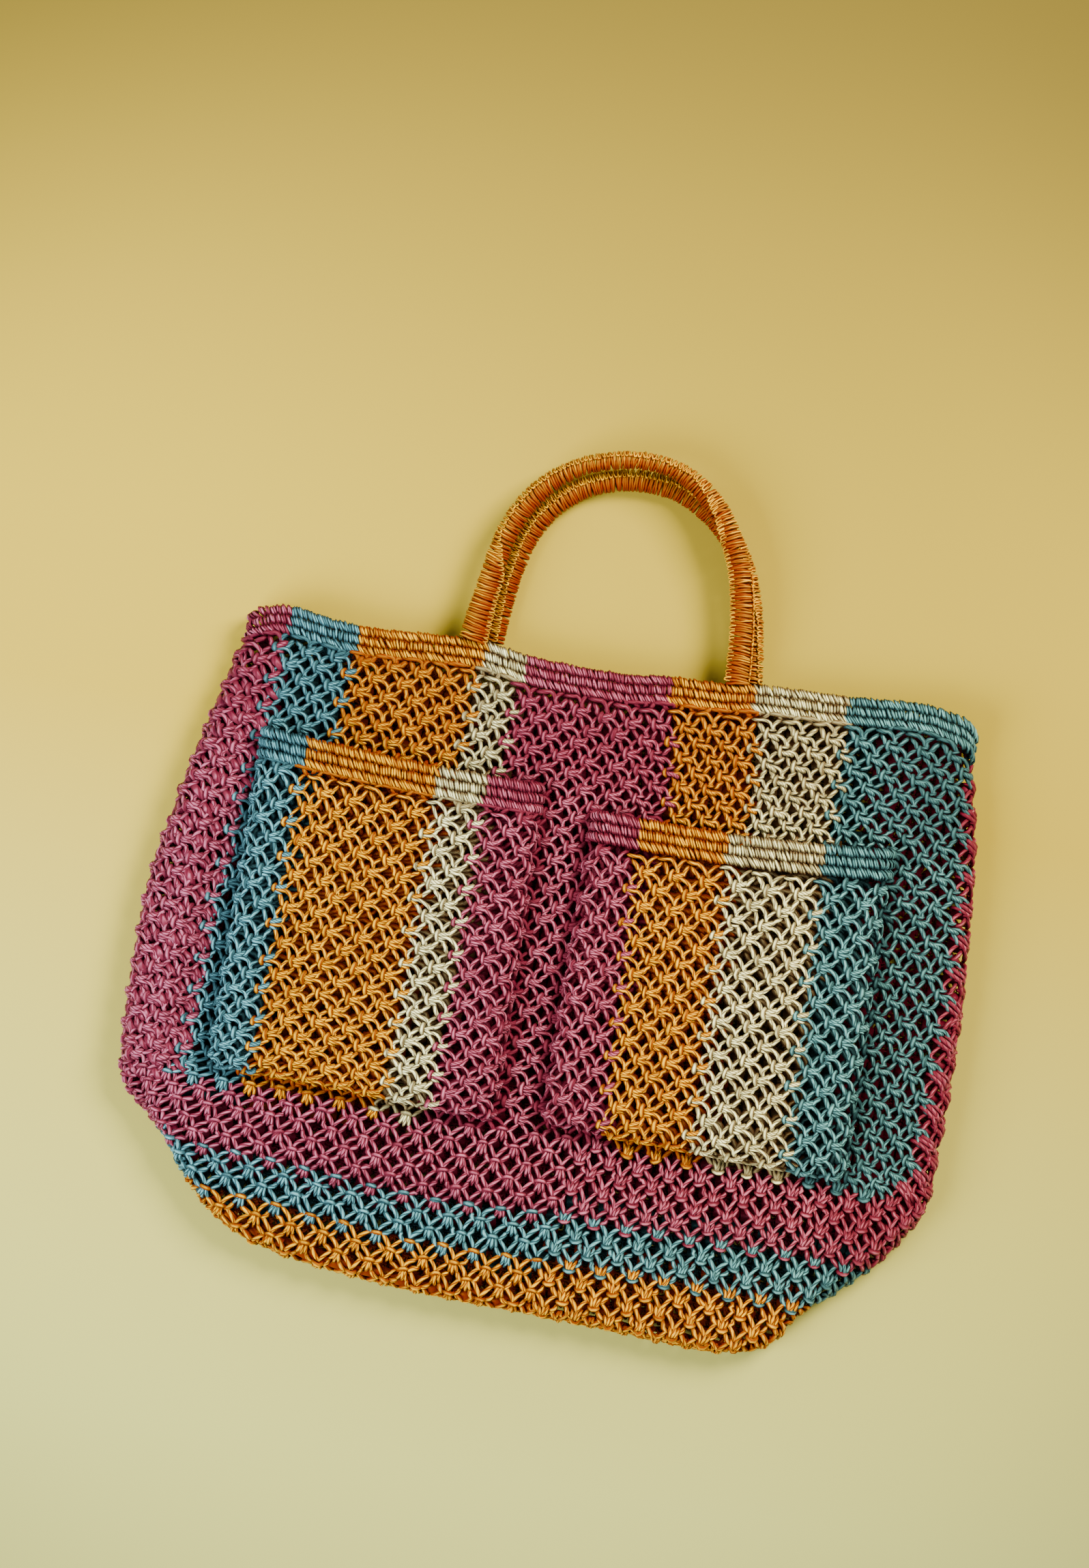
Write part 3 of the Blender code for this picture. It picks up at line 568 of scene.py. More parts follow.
class Yarn:
    """Strands gathered for one mesh: each shows plies wound round it, or hardly any if plain."""

    def __init__(self):
        self.parts = []

    def add(self, points, ways, radius, sides=4, samples=8, taper=0.72, lay=18.0, plies=3,
            plain=False, closed=False, outward=None, height=None, shade=0.0):
        """points (strand, point, 3); ways (strand, 3) roughly square to them; radius (strand,).

        outward is the way out of the cloth at each point, or ways, and height how far each point
        stands out of it. A strand gets painted shade where it faces in or lies deep, and by shade all
        over.
        lay is the length of one turn of its plies. With two plies they lie side by side, seen
        from outside.
        """
        weights = np.eye(points.shape[1]) if closed else spline_weights(points.shape[1], samples)
        line = np.einsum("mk,nkc->nmc", weights, points)
        count, samples = line.shape[:2]
        if closed:
            tangent = unit(np.roll(line, -1, 1) - np.roll(line, 1, 1))
        else:
            tangent = unit(np.gradient(line, axis=1))
        side = np.empty_like(line)
        held = ways + 0.01
        for m in range(samples):
            held = unit(held - (held * tangent[:, m]).sum(1)[:, None] * tangent[:, m])
            side[:, m] = held
        other = np.cross(tangent, side)
        along = np.linspace(-1.0, 1.0, samples)
        thinner = 0.0 if closed else 1.0 - taper
        profile = 1.0 - thinner * np.abs(along) ** TAPER_POWER
        turn = 2.0 * math.pi * (np.arange(sides) + (sides + 1) // 2) / sides
        radial = (np.cos(turn)[:, None] * side[:, :, None]
                  + np.sin(turn)[:, None] * other[:, :, None])
        reach = radius[:, None] * profile[None]
        ring = line[:, :, None] + reach[..., None, None] * radial
        out = ways[:, None] if outward is None else outward
        facing = (radial * out[:, :, None]).sum(-1)
        deep = DEEP_SIDE - np.where(facing > 0.0, DEEP_TURN, DEEP_TURN_IN) * facing
        if height is not None:
            low = np.clip((DEEP_HEIGHT - height @ weights.T) / DEEP_REACH, 0.0, DEEP_MOST)
            deep = deep + low[..., None]
        deep = np.clip(deep + np.reshape(shade, (-1, 1, 1)), *DEEP_SPAN)
        step = np.linalg.norm(np.diff(line, axis=1), axis=2)
        length = np.concatenate([np.zeros((count, 1)), np.cumsum(step, axis=1)], axis=1)
        if closed:
            last = np.linalg.norm(line[:, 0] - line[:, -1], axis=1)
            length = np.concatenate([length, length[:, -1:] + last[:, None]], axis=1)
        length = length + rng.uniform(0, FIBRE_START, (count, 1))
        if plies > 2:
            turned = rng.uniform(0, 1.0, (count, 1)) - length / lay
        else:
            turned = np.full(length.shape, SIDE_BY_SIDE)
        self.parts.append((ring, length, turned, 0.5 * plies, closed, plain, deep))

    def mesh(self, name):
        corners, order, starts, uvs, tones, deeps, plains = [], [], [], [], [], [], []
        first_vert = first_loop = 0
        for ring, length, turned, waves, closed, plain, deep in self.parts:
            count, samples, sides = ring.shape[:3]
            rows = samples if closed else samples - 1
            index = first_vert + np.arange(count * samples * sides).reshape(count, samples, sides)
            low = index[:, :rows]
            high = np.roll(index, -1, 1)[:, :rows]
            faces = [np.stack([low, np.roll(low, -1, 2), np.roll(high, -1, 2), high], axis=-1)]
            around = waves * (np.arange(sides) / sides + turned[..., None])
            along = np.broadcast_to(length[..., None], around.shape)
            wide = waves / sides
            maps = [np.stack([
                around[:, :-1], along[:, :-1], around[:, :-1] + wide, along[:, :-1],
                around[:, 1:] + wide, along[:, 1:], around[:, 1:], along[:, 1:]], axis=-1)]
            if not closed:
                faces += [index[:, 0, ::-1], index[:, -1]]
                maps += [np.stack([np.full(end.shape, 0.5), end], axis=-1)
                         for end in (along[:, 0], along[:, -1])]
            for face, chart in zip(faces, maps):
                order.append(face.reshape(-1))
                uvs.append(chart.reshape(-1, 2))
                starts.append(first_loop + np.arange(0, face.size, face.shape[-1]))
                first_loop += face.size
            corners.append(ring.reshape(-1, 3))
            tones.append(np.repeat(rng.uniform(0, 1, count), samples * sides))
            deeps.append(deep.ravel())
            plains.append(np.full(deep.size, float(plain)))
            first_vert += ring.size // 3
        corners = (np.vstack(corners) - PLAN_MIDDLE) * MM
        corners[:, 2] = np.maximum(corners[:, 2], 0.0)
        order, starts = np.concatenate(order), np.concatenate(starts)
        mesh = bpy.data.meshes.new(name)
        mesh.vertices.add(len(corners))
        mesh.vertices.foreach_set("co", corners.astype(np.float32).ravel())
        mesh.loops.add(len(order))
        mesh.loops.foreach_set("vertex_index", order.astype(np.int32))
        mesh.polygons.add(len(starts))
        mesh.polygons.foreach_set("loop_start", starts.astype(np.int32))
        mesh.update(calc_edges=True)
        layer = mesh.uv_layers.new(name="yarn")
        layer.uv.foreach_set("vector", np.concatenate(uvs).astype(np.float32).ravel())
        for attribute, values in (("tone", tones), ("deep", deeps), ("plain", plains)):
            layer = mesh.attributes.new(attribute, "FLOAT", "POINT")
            layer.data.foreach_set("value", np.concatenate(values).astype(np.float32))
        mesh.shade_smooth()
        return mesh

    def object(self, name, colour):
        mesh = self.mesh(name)
        mesh.materials.append(yarn_material(colour))
        obj = bpy.data.objects.new(name, mesh)
        bpy.context.scene.collection.objects.link(obj)
        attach(obj, "root")
        return obj


# ---------------- materials

# Painted light tint across the bag: its tint at the left and at the right, and how fast it changes.
PAINTED_TINT_LEFT, PAINTED_TINT_RIGHT = (0.95, 1.04, 1.20), (1.03, 0.98, 0.84)
PAINTED_TINT_SLOPE = 2.5
# Fibres round a ply and along it, and how far apart the fibres of two strands are picked.
FIBRES_AROUND, FIBRES_ALONG, FIBRES_APART = 9.0, 0.30, 60.0
# How full a plain strand is in its grooves, and how deep plies and fibres stand, in metres.
PLAIN_FILL = 0.8
YARN_RELIEF = 0.00022
# How bright the dullest strands' crests are, as a share of the yarn's own colour.
DULL_SHARE = 0.55


class Nodes:
    """Short ways to add, set and join the nodes of one tree."""

    def __init__(self, tree):
        self.nodes, self.links = tree.nodes, tree.links

    def feed(self, socket, value):
        """Joins an output to the socket, or sets its value. A colour is given as three numbers."""
        if isinstance(value, bpy.types.NodeSocket):
            self.links.new(value, socket)
        else:
            socket.default_value = (*value, 1.0) if socket.type == "RGBA" else value

    def add(self, kind, feeds=(), **settings):
        made = self.nodes.new("ShaderNode" + kind)
        for key, value in settings.items():
            setattr(made, key, value)
        for key, value in dict(feeds).items():
            self.feed(made.inputs[key], value)
        return made

    def math(self, operation, *values):
        return self.add("Math", enumerate(values), operation=operation).outputs[0]

    def times(self, *values):
        return self.math("MULTIPLY", *values)

    def ramp(self, source, low, high, to_low=0.0, to_high=1.0, kind="SMOOTHSTEP"):
        names = ("Value", "From Min", "From Max", "To Min", "To Max")
        feeds = zip(names, (source, low, high, to_low, to_high))
        return self.add("MapRange", feeds, interpolation_type=kind).outputs[0]

    def mix(self, share, a, b, blend="MIX"):
        return self.add("Mix", {0: share, 6: a, 7: b}, data_type="RGBA", blend_type=blend).outputs[2]


def plied_group():
    """A node group that turns the yarn's own map into plies and fibres.

    Cast is a painted tint of the light across the bag: bluer to the left, yellower to the right.
    """
    group = bpy.data.node_groups.new("plied", "ShaderNodeTree")
    tree = Nodes(group)
    chart = tree.add("SeparateXYZ", {0: tree.add("UVMap", uv_map="yarn").outputs[0]})
    around, along = chart.outputs[0], chart.outputs[1]
    tone, deep, plain = (tree.add("Attribute", attribute_name=name).outputs["Fac"]
                         for name in ("tone", "deep", "plain"))
    wave = tree.math("COSINE", tree.times(around, 2.0 * math.pi))
    ply = tree.math("MAXIMUM", tree.math("ABSOLUTE", wave), tree.times(plain, PLAIN_FILL))
    streak = tree.add("CombineXYZ", {
        0: tree.times(around, FIBRES_AROUND),
        1: tree.times(along, FIBRES_ALONG),
        2: tree.times(tone, FIBRES_APART),
    })
    noise = {"Vector": streak.outputs[0], "Scale": 1.0, "Detail": 4.0, "Roughness": 0.65}
    fibre = tree.add("TexNoise", noise, noise_dimensions="3D").outputs[0]
    place = tree.add("SeparateXYZ", {0: tree.add("TexCoord").outputs["Object"]})
    light_tint_share = tree.math("MULTIPLY_ADD", place.outputs[0], PAINTED_TINT_SLOPE, 0.5)
    height = tree.math("MULTIPLY_ADD", fibre, 0.5, tree.math("POWER", ply, 0.5))
    bump = tree.add("Bump", {"Height": height, "Strength": 0.8, "Distance": YARN_RELIEF})
    given = (
        ("Ply", "Float", ply), ("Fibre", "Float", fibre), ("Tone", "Float", tone),
        ("Deep", "Float", deep), ("Cast", "Color", tree.mix(light_tint_share, PAINTED_TINT_LEFT, PAINTED_TINT_RIGHT)),
        ("Normal", "Vector", bump.outputs[0]),
    )
    for name, kind, _ in given:
        group.interface.new_socket(name=name, in_out="OUTPUT", socket_type="NodeSocket" + kind)
    out = group.nodes.new("NodeGroupOutput")
    for name, _, value in given:
        tree.feed(out.inputs[name], value)
    return group


PLIED = plied_group()


def new_material(name):
    """A material, a way to add to its nodes, and its shader."""
    material = bpy.data.materials.new(name)
    material.use_nodes = True
    return material, Nodes(material.node_tree), material.node_tree.nodes["Principled BSDF"]


def yarn_material(colour):
    """Dyed jute: painted shade in grooves and where it lies deep, painted highlight on crests'
    fibres.
    """
    name = colour + "_jute"
    if name in bpy.data.materials:
        return bpy.data.materials[name]
    material, tree, shader = new_material(name)
    yarn = YARNS[colour]
    group = tree.add("Group", node_tree=PLIED)
    ply, fibre, tone, deep, cast, normal = (
        group.outputs[key] for key in ("Ply", "Fibre", "Tone", "Deep", "Cast", "Normal"))
    # Painted highlight: the light colour on ply crests where a strand faces out of the cloth.
    painted_highlight_share = tree.ramp(deep, -0.20, 0.14, 1.0, 0.0)
    crest = tree.times(
        tree.times(painted_highlight_share, tree.ramp(fibre, 0.28, 0.60, 0.35, 1.0)), tree.ramp(ply, 0.15, 0.85))
    fibres = tree.mix(crest, yarn["body"], yarn["light"])
    dull = tuple(DULL_SHARE * c for c in yarn["body"])
    toned = tree.mix(tree.ramp(tone, -0.7, 0.6), dull, fibres)
    # Painted shade in the grooves between plies and where a strand lies deep or faces in.
    grooved = tree.mix(tree.ramp(ply, 0.0, 0.75, 0.22, 1.0), yarn["deep"], toned)
    base = tree.mix(tree.ramp(deep, 0.0, 0.80, 0.0, 0.97), grooved, yarn["deep"])
    # The yarn's colour times the painted tint of the light across the bag.
    light_tinted = tree.mix(1.0, base, cast, blend="MULTIPLY")
    # Painted shade, near black, on the sides that face into the bag.
    inside = tree.ramp(deep, 0.92, 1.40, 0.0, 0.34)
    tree.feed(shader.inputs["Base Color"], tree.mix(inside, light_tinted, (0.0, 0.0, 0.0)))
    tree.feed(shader.inputs["Normal"], normal)
    tree.feed(shader.inputs["Roughness"], 0.48)
    tree.feed(shader.inputs["Specular IOR Level"], 0.45)
    tree.feed(shader.inputs["Specular Tint"], yarn["light"])
    return material


# ---------------- nets

# How much faster a thick knot's height grows than its strands do.
PUFF = 3.5
# How unlike each other knots are: their places, lean and size, then their strands' points and
# thickness, which is also a little more than a shape's own.
PLACE_SPREAD, LEAN_SPREAD, SWELL_SPREAD = 0.3, 0.06, 0.04
POINT_SPREAD, SIZE_SPREAD, SIZE_MEAN = (0.22, 0.22, 0.14), 0.07, 1.06
LEFT_FOLD_MEAN, LEFT_FOLD_SPREAD = 1.12, 0.12
# How tall a loop is where its colour is the next stripe's, and how far strands may pass a band's
# lower edge.
MIXED_LOOP, BAND_OVERLAP = 0.66, 0.6
# How much painted shade each knot shape's yarn gets: the plain ones lie under the pockets or at the
# back.
SHADE = (0.0, 0.0, 0.12, 0.06, 0.0, 0.0)
# A slack strand gets a little more painted shade.
SLACK_SHADE = 0.04
# A knot's own share of the plan, in square millimetres, how far a net goes on past the first points
# of its links, and how many links start at a knot.
KNOT_AREA, KNOT_WIDE, KNOT_TALL, KNOT_LINKS = 143.0, 8.2, 8.6, 4


def sack_colours(column, row, side_end):
    """The number of each knot's stripe, of its loop's and of its right and left links'."""
    own = sum((column > end).astype(int) for end in STRIPE_ENDS)
    own = own + (column > side_end - np.maximum(row - SIDE_TURN, 0))
    over = own + np.isin(column, STRIPE_ENDS)
    first = len(STRIPES)
    turned = column > BASE_TURN
    band = first - 1 + sum((row + turned * (start > BASE_ROWS[0]) >= start).astype(int)
                           for start in BASE_ROWS)
    based = row >= BASE_ROWS[0]
    last_row = np.isin(row + 1, BASE_ROWS[1:])
    loop = np.where(turned, band - last_row, band + last_row)
    down = np.where(turned, band, band + last_row)
    top = row == BASE_ROWS[0] - 1
    return (np.where(based, band, own), np.where(based, loop, over),
            np.where(based, down, np.where(top, first, over)),
            np.where(based, down, np.where(top, first, own)))


def net_strands(net, seed, side_room, above, colours_of, zones):
    """Every strand of a net's knots, in the net's unrolled plan.

    Each comes as its role, shape, stripe, points, radius and further looks. above gives the y that
    no strand passes. zones gives the shape that each place takes, whether it is turned over, and
    how thick it is.
    """
    dice = np.random.default_rng(seed)
    columns = np.arange(net["columns"][0] - 3, net["columns"][-1] + side_room)
    rows = np.arange(net["rows"][0] - 1, net["rows"][-1] + 3)
    places = net_places(net, columns, rows)
    places += dice.normal(0.0, PLACE_SPREAD, places.shape)
    wanted = (columns[:, None] + rows[None]) % 2 == net["odd"]
    wanted[:1] = wanted[-1:] = False
    wanted[:, -1:] = False
    i, j = np.nonzero(wanted)
    here, right, left = places[i, j], places[i + 1, j + 1], places[i - 1, j + 1]
    level = right - left
    lean = np.arctan2(level[:, 1], level[:, 0]) + dice.normal(0.0, LEAN_SPREAD, len(i))
    swell = dice.normal(1.0, SWELL_SPREAD, len(i))
    own, loop, right_link, left_link = colours_of(columns[i], rows[j])
    stripe_by_role = dict(bar=own, loop=loop, right=right_link, left=left_link, slack=own)
    shape_of, flip, thick = zones(columns[i], rows[j], here[:, 0], here[:, 1])
    for shape, knot in enumerate(KNOTS):
        shown = shape_of == shape
        links = shown | (shape_of == only_links(shape))
        seen = dict.fromkeys(ENDS_BY_ROLE, 0)
        for role, radius, rings, *turn, table in knot:
            plies, lay = turn or PLIES_BY_ROLE[role]
            ends = ENDS_BY_ROLE[role][seen[role]]
            seen[role] += 1
            is_link = role in ("right", "left")
            chosen = links if is_link else shown
            if not chosen.any():
                continue
            table = np.array(table, float)
            mirror = np.ones(chosen.sum()) if is_link else np.where(flip[chosen], -1.0, 1.0)
            start = here[chosen]
            goal = dict(right=right, left=left).get(role, here)[chosen]
            c, s = np.cos(lean[chosen]) * swell[chosen], np.sin(lean[chosen]) * swell[chosen]
            dx, dy = table[:, 1], table[:, 2][None] * mirror[:, None]
            if role == "loop":
                dy = dy * np.where(loop == own, 1.0, MIXED_LOOP)[chosen][:, None]
            points = np.empty((len(start), len(table), 3))
            base = start[:, None] + table[:, 0][None, :, None] * (goal - start)[:, None]
            points[..., 0] = base[..., 0] + dx * c[:, None] - dy * s[:, None]
            points[..., 1] = base[..., 1] + dx * s[:, None] + dy * c[:, None]
            points[..., 2] = table[:, 3] * thick[chosen][:, None] ** PUFF
            points += dice.normal(0.0, POINT_SPREAD, points.shape)
            points[..., 1] = np.minimum(points[..., 1], above(points[..., 0]) + BAND_OVERLAP)
            size = radius * dice.normal(SIZE_MEAN, SIZE_SPREAD, len(start)) * thick[chosen]
            if role in ("slack", "bar") and shape == ON_LEFT_FOLD:
                size = size * dice.normal(LEFT_FOLD_MEAN, LEFT_FOLD_SPREAD, len(start))
            looks = dict(plies=plies, lay=lay, samples=rings, taper=ends)
            yield role, shape, stripe_by_role[role][chosen], points, size, looks


def grow_net(zone, stripes, strands, place, shade_at=lambda middle: np.zeros(len(middle))):
    """Meshes of a net, two for each colour stripe: its links, and the knots on them.

    shade_at says how much painted shade a strand with its middle there gets.
    """
    gathered = {}
    for role, shape, stripe, points, size, looks in strands:
        solid, ways = place(points)
        way = ways[:, ways.shape[1] // 2]
        part = "knots" if role in ("bar", "slack") else "net"
        sides = 4 if shape in (UNDER_POCKET, AT_BACK) else 5
        for number in np.unique(stripe):
            here = stripe == number
            yarn, starts = gathered.setdefault((number, part), (Yarn(), []))
            shade = SHADE[shape] + SLACK_SHADE * (role == "slack") + shade_at(points[here].mean(1))
            yarn.add(solid[here], way[here], size[here], sides, height=points[here, :, 2],
                     shade=shade, **looks)
            if role in ("right", "left"):
                starts.append(points[here, 0])
    made = {}
    for (number, part), (yarn, starts) in sorted(gathered.items()):
        name, colour = stripes[number]
        made.setdefault(number, {})[part] = yarn.object(f"{zone}_{name}_{part}", colour)
        if part == "net":
            made[number]["starts"] = np.vstack(starts)
    return made


def declare_net(made, bars):
    """Works out the flat size that each colour stripe's knots cover, and does nothing more with it.

    bars gives the wrapped bars that go along with a stripe, by its number.
    """
    for number, pieces in made.items():
        starts = pieces["starts"]
        wide, tall = np.ptp(starts[:, 0]) + KNOT_WIDE, np.ptp(starts[:, 1]) + KNOT_TALL
        if number in bars:
            bars[number]


# How many half columns a net may go on past the last one of its table.
SACK_ROOM, POCKET_ROOM = 6, 2
# How far inside a pocket's edges the knots under it are plainer.
UNDER_MARGIN = 7.0
# How far past the flat front the sack's net goes, how far up behind the mouth's band its links go,
# and how far below the band's lower edge its knots stop.
SACK_PAST, LINKS_UP, KNOTS_BELOW = 14.5, 7.0, 3.2
# How thick the yarn is on the base, on the left fold, just under the band and elsewhere in front.
BASE_THICK, LEFT_THICK, BAND_THICK, FRONT_THICK = 1.12, 1.16, 1.2, 1.03
# On a pocket: how far past its flat middle its net goes, how far below its band its knots stop,
# and how thick its yarn is.
POCKET_PAST, POCKET_KNOTS_BELOW, POCKET_THICK = 12.0, 3.0, 1.05
# Painted shade on the front's open net, above the pockets and past the right one.
OPEN_SHADE, OPEN_ABOVE, OPEN_RIGHT, OPEN_FADE = 0.11, -80.0, 140.0, 25.0
# Painted shade close to a band or a pocket: how much, from how far off, and over how far.
BAND_DARK, BAND_DARK_FROM, POCKET_DARK, POCKET_DARK_FROM, DARK_FADE = 0.25, 5.0, 0.50, 6.5, 4.0
MOST_SHADE = 0.6
# Painted shade on a pocket: how much where it rolls down, from how far out, and under its band.
ROLL_DARK, ROLL_DARK_FROM, POCKET_BAND_DARK = 0.06, 8.5, 0.3
# The height on the plan at which a pocket's sides are taken for its net's top edge and its bars'.
NET_TOP_Y, BARS_Y = -80.0, -70.0


def rising(value, start, fade):
    """0 up to the start and 1 a fade past it."""
    return np.clip((value - start) / fade, 0.0, 1.0)


def in_a_pocket(x, y, margin):
    """True where a pocket covers the front, margin inside its edges."""
    hidden = np.zeros(np.shape(x), bool)
    for name in POCKETS:
        left, right, low, _ = pocket_edges(name, x, y)
        top = band_top(name, x, y)
        hidden |= ((x > left + margin) & (x < right - margin)
                   & (y > low + margin) & (y < top - margin))
    return hidden


def sack_zones(column, row, x, y, side):
    """The shape of the knot at each place of the sack, whether it is turned over, and how thick."""
    past = past_the_line(x, y)[0]
    on_base = row >= BASE_ROWS[0] - 1
    on_left = column <= STRIPE_ENDS[0]
    under_band = y > mouth_low(x) - KNOTS_BELOW
    if side < 0:
        shape = np.full(np.shape(x), AT_BACK)
        thick = np.ones(np.shape(x))
    else:
        on_right = column > SIDE_END - np.maximum(row - SIDE_TURN, 0)
        shape = np.where(on_left, ON_LEFT_FOLD, ON_STRIPE)
        shape = np.where(on_right, ON_RIGHT_FOLD, shape)
        shape = np.where(on_base, ON_BASE, shape)
        shape = np.where(in_a_pocket(x, y, UNDER_MARGIN), UNDER_POCKET, shape)
        thick = np.where(on_base, BASE_THICK, np.where(on_left, LEFT_THICK, FRONT_THICK))
        thick = np.where(under_band, BAND_THICK, thick)
    shape = np.where(under_band, only_links(shape), shape)
    gone = (past > SACK_PAST) | (y > mouth_low(x) + LINKS_UP)
    return np.where(gone, GONE, shape), column > BASE_TURN, thick


def beside_a_pocket(middle):
    """Painted shade close round a pocket, just under the mouth's band and where the net is open."""
    x, y = middle[:, 0], middle[:, 1]
    shade = BAND_DARK * rising(y - mouth_low(x), -BAND_DARK_FROM, DARK_FADE)
    shade = shade + OPEN_SHADE * rising(y, OPEN_ABOVE, OPEN_FADE)
    shade = shade + OPEN_SHADE * rising(x, OPEN_RIGHT, OPEN_FADE)
    for name in POCKETS:
        left, right, low, _ = pocket_edges(name, x, y)
        off = np.hypot(np.maximum(np.maximum(left - x, x - right), 0.0), np.maximum(low - y, 0.0))
        near = POCKET_DARK * rising(-off, -POCKET_DARK_FROM, DARK_FADE)
        shade = shade + np.where(y > band_top(name, x, y), 0.0, near)
    return np.minimum(shade, MOST_SHADE)


def sack_net(zone, net, seed, side, side_end, **shading):
    """The net of the sack's front, where side is 1, or of its back, where it is -1."""
    strands = net_strands(
        net, seed, SACK_ROOM, mouth_low,
        lambda column, row: sack_colours(column, row, side_end),
        lambda *place: sack_zones(*place, side),
    )
    return grow_net(
        zone, STRIPES + BASE_STRIPES, strands, lambda points: place_on_sack(points, side), **shading)


def pocket_net(name, seed):
    colours, _, ends = POCKET_STRIPES[name]

    def colours_of(column, row):
        own = sum((column > end).astype(int) for end in ends)
        over = own + np.isin(column, ends)
        return own, over, over, own

    def above(x):
        return band_top(name, x, NET_TOP_Y) - POCKET_BAND_TALL

    def zones(column, row, x, y):
        past = past_the_pocket(name, x, y)[0]
        shape = np.where(y > above(x) - POCKET_KNOTS_BELOW, only_links(ON_STRIPE), ON_STRIPE)
        gone = (past > POCKET_PAST) | (y > above(x) + LINKS_UP)
        upright = np.zeros(np.shape(x), bool)
        return np.where(gone, GONE, shape), upright, np.full(np.shape(x), POCKET_THICK)

    # Painted shade where the pocket rolls down and just under its band.
    def rolled(middle):
        x, y = middle[:, 0], middle[:, 1]
        past = past_the_pocket(name, x, y)[0]
        return (ROLL_DARK * rising(past, ROLL_DARK_FROM, DARK_FADE)
                + POCKET_BAND_DARK * rising(y - above(x), -BAND_DARK_FROM, DARK_FADE))

    return grow_net(
        name, tuple(zip(colours, colours)),
        net_strands(POCKET_NETS[name], seed, POCKET_ROOM, above, colours_of, zones),
        lambda points: place_on_pocket(points, name), rolled,
    )


# The back's knots lie behind the front's holes.
BACK_NET = dict(SACK_NET, odd=1 - SACK_NET["odd"])

front = sack_net("front", SACK_NET, 3, 1, SIDE_END, shade_at=beside_a_pocket)
back = sack_net("back", BACK_NET, 4, -1, BACK_SIDE_END)
pockets = {name: pocket_net(name, 20 + k) for k, name in enumerate(POCKETS)}

# ---------------- wrapped bars

PLY_PITCH, PLY_RADIUS = 1.42, 0.73
# Plies lie in pairs, a little closer together, and each bar's start a little further on.
PAIR_GAP, BAR_STEP = 0.24, 0.4
# How far the plies of each bar lean over, from the top bar down, and how that wavers along it.
BAR_LEAN = (1.45, 1.05, 1.80)
LEAN_WAVE, LEAN_WAVE_LENGTH = 0.35, 7.0
# How unlike one another the plies are: their place, lean, height, radius and darkness.
PLY_SPREAD, PLY_LEAN_SPREAD, PLY_HEIGHT_SPREAD, PLY_RADIUS_SPREAD = 0.16, 0.30, 0.28, 0.07
BAR_SHADE, PLY_SHADES = -0.06, (-0.08, 0.26)
# One ply over a bar: how far up the bar from its middle, as a share, and how far out.
BAR_PLY = np.array(((0.50, -1.3), (0.40, 0.9), (0.0, 2.3), (-0.40, 0.9), (-0.50, -1.3)))
# How far past the inner line the mouth's bars run on round the side folds.
MOUTH_ROOM = 12.9


def bar_wraps(x_from, x_to, top_of, tall, place, colour_of, bucket, dice):
    """Rows of slanted plies over three bars, gathered by colour in bucket."""
    bar = tall / BAND_BARS
    up, out = BAR_PLY.T
    for k in range(BAND_BARS):
        at = np.arange(x_from + 0.5 * PLY_PITCH, x_to, PLY_PITCH)
        at = at + dice.normal(0.0, PLY_SPREAD, len(at)) + BAR_STEP * k
        pair = (np.arange(len(at)) % 2) * PAIR_GAP
        lean = (BAR_LEAN[k] + dice.normal(0.0, PLY_LEAN_SPREAD, len(at))
                + LEAN_WAVE * np.sin(at / LEAN_WAVE_LENGTH + 2 * k))
        points = np.empty((len(at), len(BAR_PLY), 3))
        points[..., 0] = at[:, None] - pair[:, None] - up * 2.0 * lean[:, None]
        middle = top_of(points[..., 0]) - (k + 0.5) * bar
        points[..., 1] = middle + up * bar * 0.96 + dice.normal(0, PLY_HEIGHT_SPREAD, (len(at), 1))
        points[..., 2] = out + dice.normal(0, PLY_HEIGHT_SPREAD, (len(at), 1))
        solid, ways = place(points)
        colours = colour_of(at)
        for colour in np.unique(colours):
            here = colours == colour
            yarn = bucket.setdefault(str(colour), Yarn())
            radius = dice.normal(PLY_RADIUS, PLY_RADIUS_SPREAD, here.sum())
            # A ply's ends, low between the bars, get painted shade from its height.
            yarn.add(solid[here], ways[here, 2], radius, 4, 6, lay=30.0, taper=0.75, plain=True,
                     height=points[here, :, 2] - 0.7,
                     shade=BAR_SHADE + dice.uniform(*PLY_SHADES, here.sum()))


def colours_by_x(colours, ends):
    return lambda x: np.array(colours)[np.searchsorted(ends, x)]


def bar_objects(zone, yarns):
    return {colour: yarn.object(f"{zone}_bars_{colour}", colour) for colour, yarn in yarns.items()}


def pocket_bar_wraps(name, dice):
    colours, ends, _ = POCKET_STRIPES[name]
    left_top, right_top = POCKETS[name][:2]
    room = POCKET_ROLL - ROLL_RADIUS * math.pi / 2
    found = {}
    bar_wraps(
        left_top + room, right_top - room, lambda x: band_top(name, x, BARS_Y), POCKET_BAND_TALL,
        lambda points: place_on_pocket(points, name), colours_by_x(colours, ends), found, dice,
    )
    return bar_objects(name, found)


dice = np.random.default_rng(31)
mouth_yarns = {}
for side in (1, -1):
    bar_wraps(
        OUTLINE[0, 0] + FOLD_REACH - MOUTH_ROOM, OUTLINE[-1, 0] - FOLD_REACH + MOUTH_ROOM,
        mouth_edge, MOUTH_BAND_TALL, lambda points, side=side: place_on_sack(points, side),
        colours_by_x(MOUTH_COLOURS, MOUTH_COLOUR_ENDS), mouth_yarns, dice,
    )
mouth_bars = bar_objects("mouth", mouth_yarns)
pocket_bars = {name: pocket_bar_wraps(name, dice) for name in POCKETS}

# ---------------- handles

RING_PITCH, RING_RADIUS, RING_POINTS = 1.30, 0.72, 14
# Every second ring lies further on, and may be sunk between the others: how far, how much smaller
# it is then, and how much painted shade it gets.
SECOND_ON, SUNK, SUNK_SMALLER, SUNK_DARKER = 0.25, (0.1, 1.0), 0.05, 0.4
